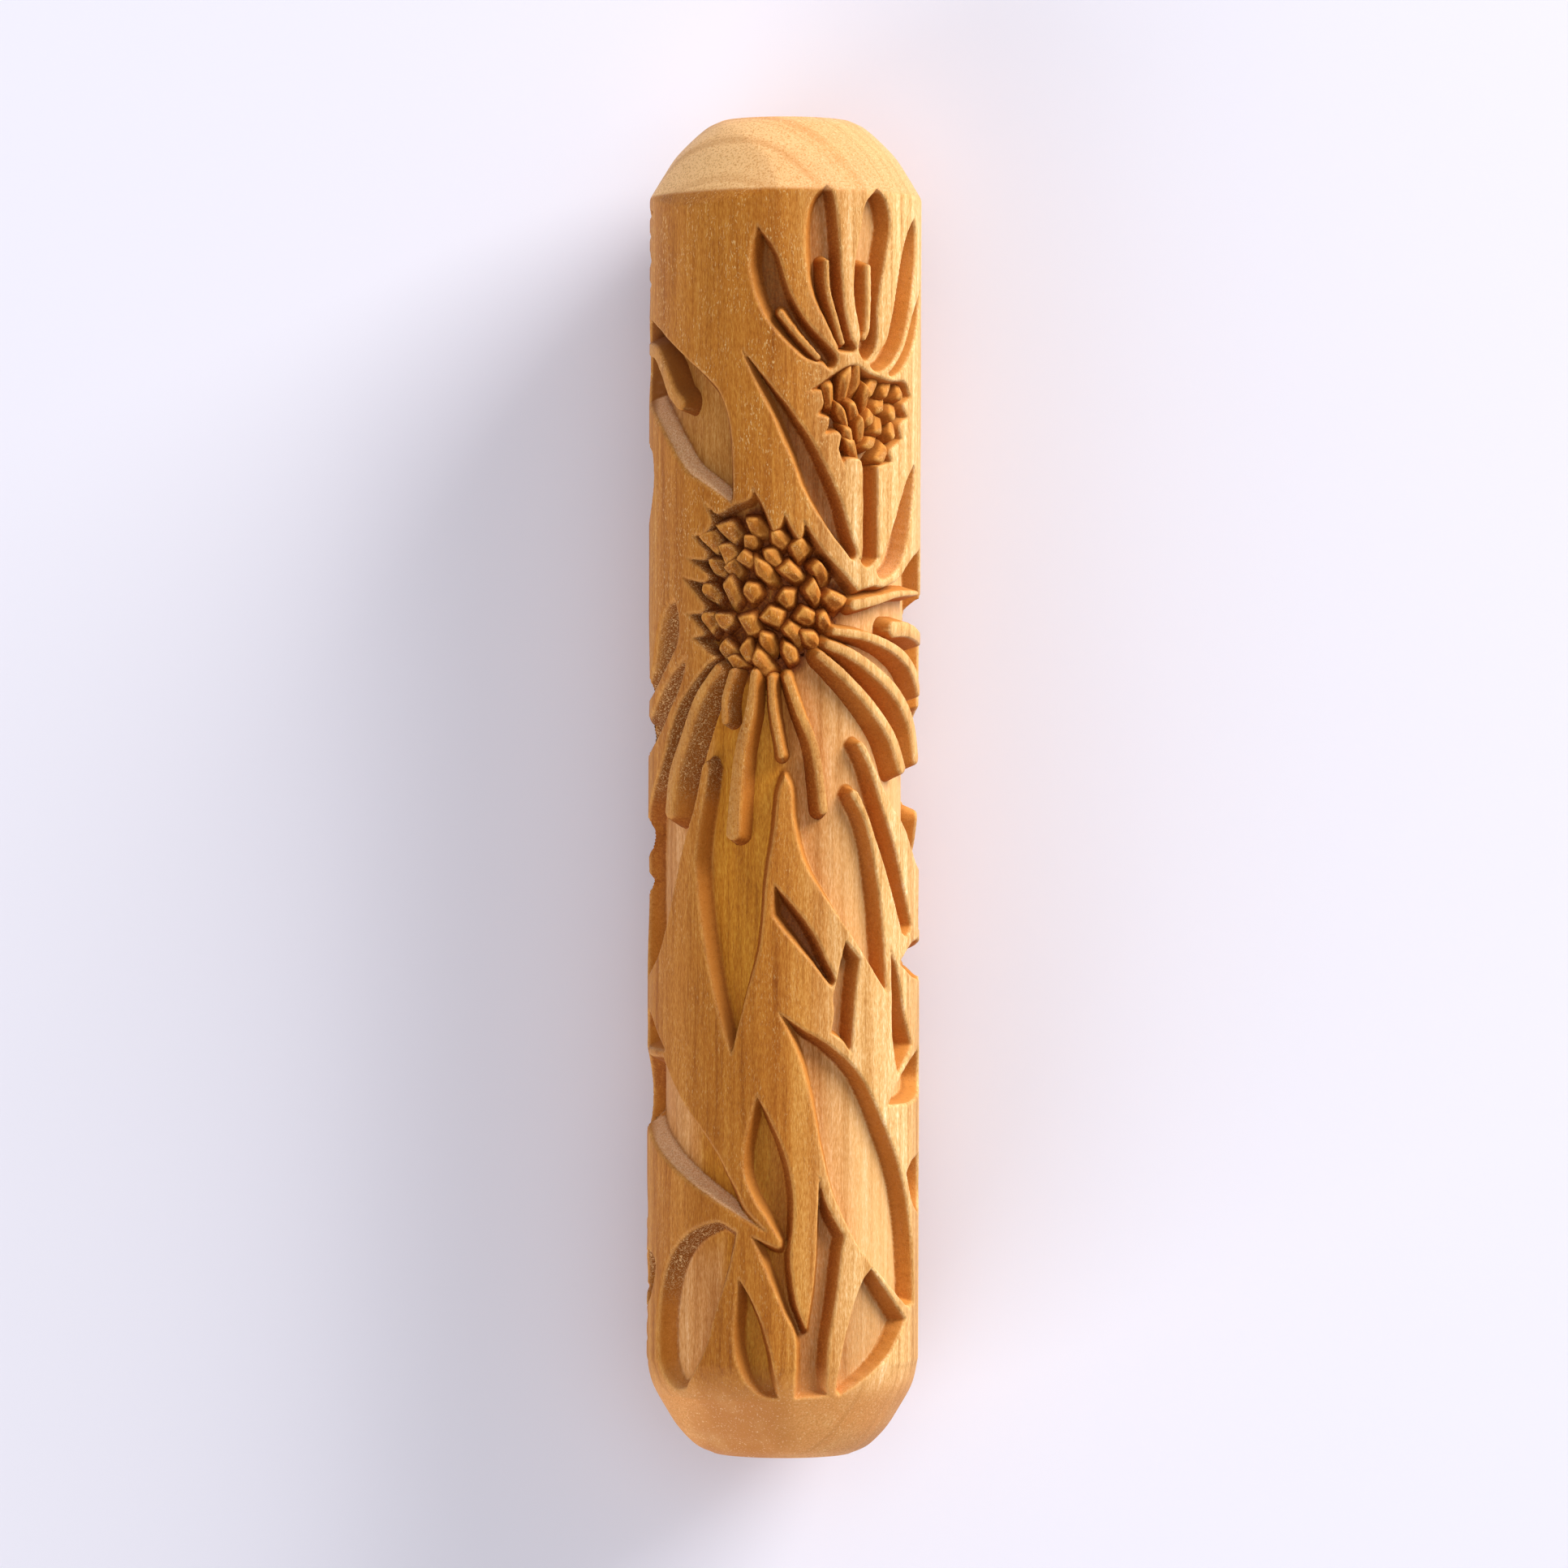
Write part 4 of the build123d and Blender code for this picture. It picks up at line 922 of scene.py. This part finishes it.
        # the paler part to the right is sapwood and painted sheen
        pale_part = self.times(self.sapwood_and_sheen, sapwood_and_sheen_share)
        ground = self.mix(self.times(self.layer, 0.6), (0.52, 0.19, 0.027), (0.48, 0.16, 0.013))
        ground = self.mix(pale_part, ground, (0.8, 0.46, 0.165))
        upper_part = self.ramp(self.y, 0.015, 0.03)
        olive_shade = self.mix(upper_part, (0.55, 0.2, 0.014), (0.44, 0.17, 0.028))
        floor = self.mix(self.olive, floor_colour, olive_shade)
        floor = self.mix(pale_part, floor, (0.82, 0.47, 0.18))
        clearness = self.rest(self.times(self.low, self.sapwood_and_sheen, 0.5))
        shade = self.marked(self.mix(self.low, ground, floor), GRAIN_MARKS, "MULTIPLY", [clearness])
        specks = self.times(self.ramp(self.textures["specks"], 0.58, 0.7),
                            self.ramp(self.textures["speck_groups"], 0.36, 0.66))
        on_ground = self.math("SUBTRACT", 0.62, self.times(self.low, 0.5))
        up_the_roller = self.plus(self.times(self.ramp(self.y, -0.01, 0.02), 0.6), 0.4)
        self.specks = self.times(specks, on_ground, up_the_roller)
        return self.mix(self.specks, shade, (0.9, 0.6, 0.26))

    def wall(self):
        """Cut walls, painted lighter or darker by the way they face the light. The ones that look down
        the roller or to the left get painted shade, less of it on the roller's right; the ones that
        look up and to the right get painted light, paler still in a few pockets. On the roller's left
        more painted shade darkens the walls, and there their fibres stand up in pale curls."""
        right, up, _ = self.separate(self.normal)
        # painted shade on walls that face away from the light, painted light on those that face it, up
        # and to the right
        brightness = self.plus(self.times(right, 0.55), self.times(up, 0.85))
        dark = self.mix(self.ramp(self.x, 0.003, 0.01), (0.26, 0.06, 0.003), (0.5, 0.15, 0.015))
        wall = self.mix(self.ramp(brightness, -0.65, 0.2), dark, (0.5, 0.16, 0.016))
        wall = self.mix(self.ramp(brightness, 0.2, 0.8), wall, (0.62, 0.24, 0.042))
        # more painted light on such walls in a few pockets
        painted_wall_light = self.times(self.ramp(brightness, 0.0, 0.55), self.attribute("painted_wall_light"),
                            self.ramp(self.x, -0.0135, -0.0122))
        speckle = self.ramp(self.textures["fibres"], 0.38, 0.62)
        wall = self.mix(painted_wall_light, wall, self.mix(speckle, (0.8, 0.405, 0.19), (1.00, 0.68, 0.39)))
        wall = self.marked(wall, WALL_MARKS)
        # more painted shade on the walls on the roller's left
        low_leaf = self.times(self.ramp(self.y, -0.04, -0.0435), self.ramp(self.y, -0.052, -0.0465))
        painted_shade_length = self.math("MAXIMUM", self.ramp(self.y, -0.0025, 0.0015), low_leaf)
        painted_shade = self.times(self.ramp(self.x, -0.0025, -0.0065), self.rest(painted_wall_light), painted_shade_length)
        wall = self.mix(self.times(painted_shade, 0.75), wall, (0.185, 0.05, 0.006))
        self.fuzz = self.times(self.ramp(self.textures["curls"], 0.55, 0.6), painted_shade,
                               self.ramp(self.y, 0.031, 0.026))
        return self.mix(self.times(self.fuzz, 0.8), wall, (0.8, 0.49, 0.22))

    def end_grain(self):
        """The domed ends: pale above, browner below, with arcs and dots of end grain."""
        lower = self.mix(self.layer, (0.74, 0.32, 0.092), (0.55, 0.205, 0.048))
        upper = self.mix(self.ramp(self.x, -0.008, 0.008), (1.00, 0.61, 0.265), (0.78, 0.405, 0.17))
        return self.marked(self.mix(self.upper_end, lower, upper), END_MARKS)

    def relief(self):
        """The surface's normal with fibres, grit, splinters, fuzz and end grain standing up a little."""
        textures = self.textures
        height = self.plus(
            self.times(textures["fibres"], 0.7), self.times(textures["grit"], 0.35),
            self.times(textures["grain"], 0.4), self.times(textures["splinters"], self.steep, 0.9),
            self.times(self.fuzz, self.steep, 1.5), self.times(textures["dots"], self.end, 0.6),
            self.times(self.specks, 0.5))
        inputs = {"Strength": 0.6, "Distance": 0.06 * MM, "Height": height}
        return self.add("ShaderNodeBump", inputs).outputs["Normal"]


# ---- camera, light and paper ----

def add_object(name, data):
    thing = bpy.data.objects.new(name, data)
    bpy.context.scene.collection.objects.link(thing)
    return thing


def make_camera():
    """Straight down from above the barrel, with the crisp shoulder at the picture's top."""
    data = bpy.data.cameras.new("camera")
    data.sensor_width = 36
    data.lens = 161.8
    camera = add_object("camera", data)
    camera.location = (0.0, 0.0003, 0.7)
    camera.rotation_euler = (0, 0, math.radians(0.17))
    bpy.context.scene.camera = camera


def make_light(name, position, size, power, colour=(1.0, 1.0, 1.0)):
    """A square lamp that faces the roller."""
    data = bpy.data.lights.new(name, "AREA")
    data.size = size
    data.energy = power
    data.color = colour
    light = add_object(name, data)
    light.location = position
    x, y, z = position
    light.rotation_euler = (math.atan2(math.hypot(x, y), z), 0, math.atan2(-y, -x) - math.pi / 2)


def make_stage():
    """A sheet of pale paper under the roller, in a softly lit room."""
    half = 1.5
    height = -OUTER_RADIUS * MM
    corners = [(x * half, y * half, height) for x, y in ((-1, -1), (1, -1), (1, 1), (-1, 1))]
    mesh = bpy.data.meshes.new("paper")
    mesh.from_pydata(corners, [], [(0, 1, 2, 3)])
    material = Nodes("pale_paper")
    material.surface({"Base Color": (0.88, 0.87, 0.985), "Roughness": 0.9})
    mesh.materials.append(material.material)
    add_object("paper", mesh)
    world = bpy.data.worlds.new("soft_room")
    world.use_nodes = True
    background = world.node_tree.nodes["Background"]
    background.inputs["Color"].default_value = (0.97, 0.97, 1.0, 1)
    background.inputs["Strength"].default_value = 0.35
    bpy.context.scene.world = world
    bpy.context.scene.view_settings.view_transform = "Standard"


def main():
    make_camera()
    make_stage()
    make_light("window", (1.05, 0.91, 0.45), 0.8, 29.0, (1.0, 0.98, 0.95))
    make_light("ceiling", (0.1, 0.1, 1.6), 1.4, 4.6)
    make_light("far_wall", (-0.85, -0.9, 0.5), 1.0, 9.5)

    # pale colour of rubbed edges and their painted highlight, strongest on the seeds
    pale_crest = (0.86, 0.5, 0.17)
    oiled = Wood("oiled_wood", sapwood_and_sheen_share=0.85, floor_colour=(0.62, 0.262, 0.07),
                 crest_share=0.24, crest_colour=pale_crest).material
    petal_wood = Wood("petal_wood", sapwood_and_sheen_share=0.6, floor_colour=(0.58, 0.215, 0.04),
                      crest_share=0.28, crest_colour=pale_crest).material
    seed_wood = Wood("seed_wood", sapwood_and_sheen_share=0.15, floor_colour=(0.5, 0.15, 0.012),
                     crest_share=0.6, crest_colour=(0.86, 0.4, 0.085)).material
    for band in make_barrel(oiled):
        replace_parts(band, "carved_barrel")
    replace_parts(make_end("upper_end", UPPER_DOME, True, oiled), "upper_domed_end")
    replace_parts(make_end("lower_end", LOWER_DOME, False, oiled), "lower_domed_end")

    petal_names = [name for name in BARS if name.startswith("petal")]
    vein_names = [name for name in BARS if name.startswith("vein")]
    for side, over in (("front", False), ("back", True)):
        pieces = {
            "large_flower_petals": make_bars(f"{side}_petals", petal_names, petal_wood, over),
            "small_flower_veins": make_bars(f"{side}_veins", vein_names, petal_wood, over),
            "leaf_rib": make_bars(f"{side}_rib", ["leaf_rib"], oiled, over),
            "large_flower_seeds": make_seeds(
                f"{side}_large_seeds", LARGE_SEEDS, seed_wood, over,
                height=1.82, length=1.25, lean=large_seed_lean, gap_share=LARGE_GAP),
            "small_flower_seeds": make_seeds(
                f"{side}_small_seeds", SMALL_SEEDS, seed_wood, over,
                height=1.78, length=1.75, lean=small_seed_lean, gap_share=SMALL_GAP),
        }
        for node, piece in pieces.items():
            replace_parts(piece, f"{side}_{node}")


main()
bpy.context.view_layer.update()
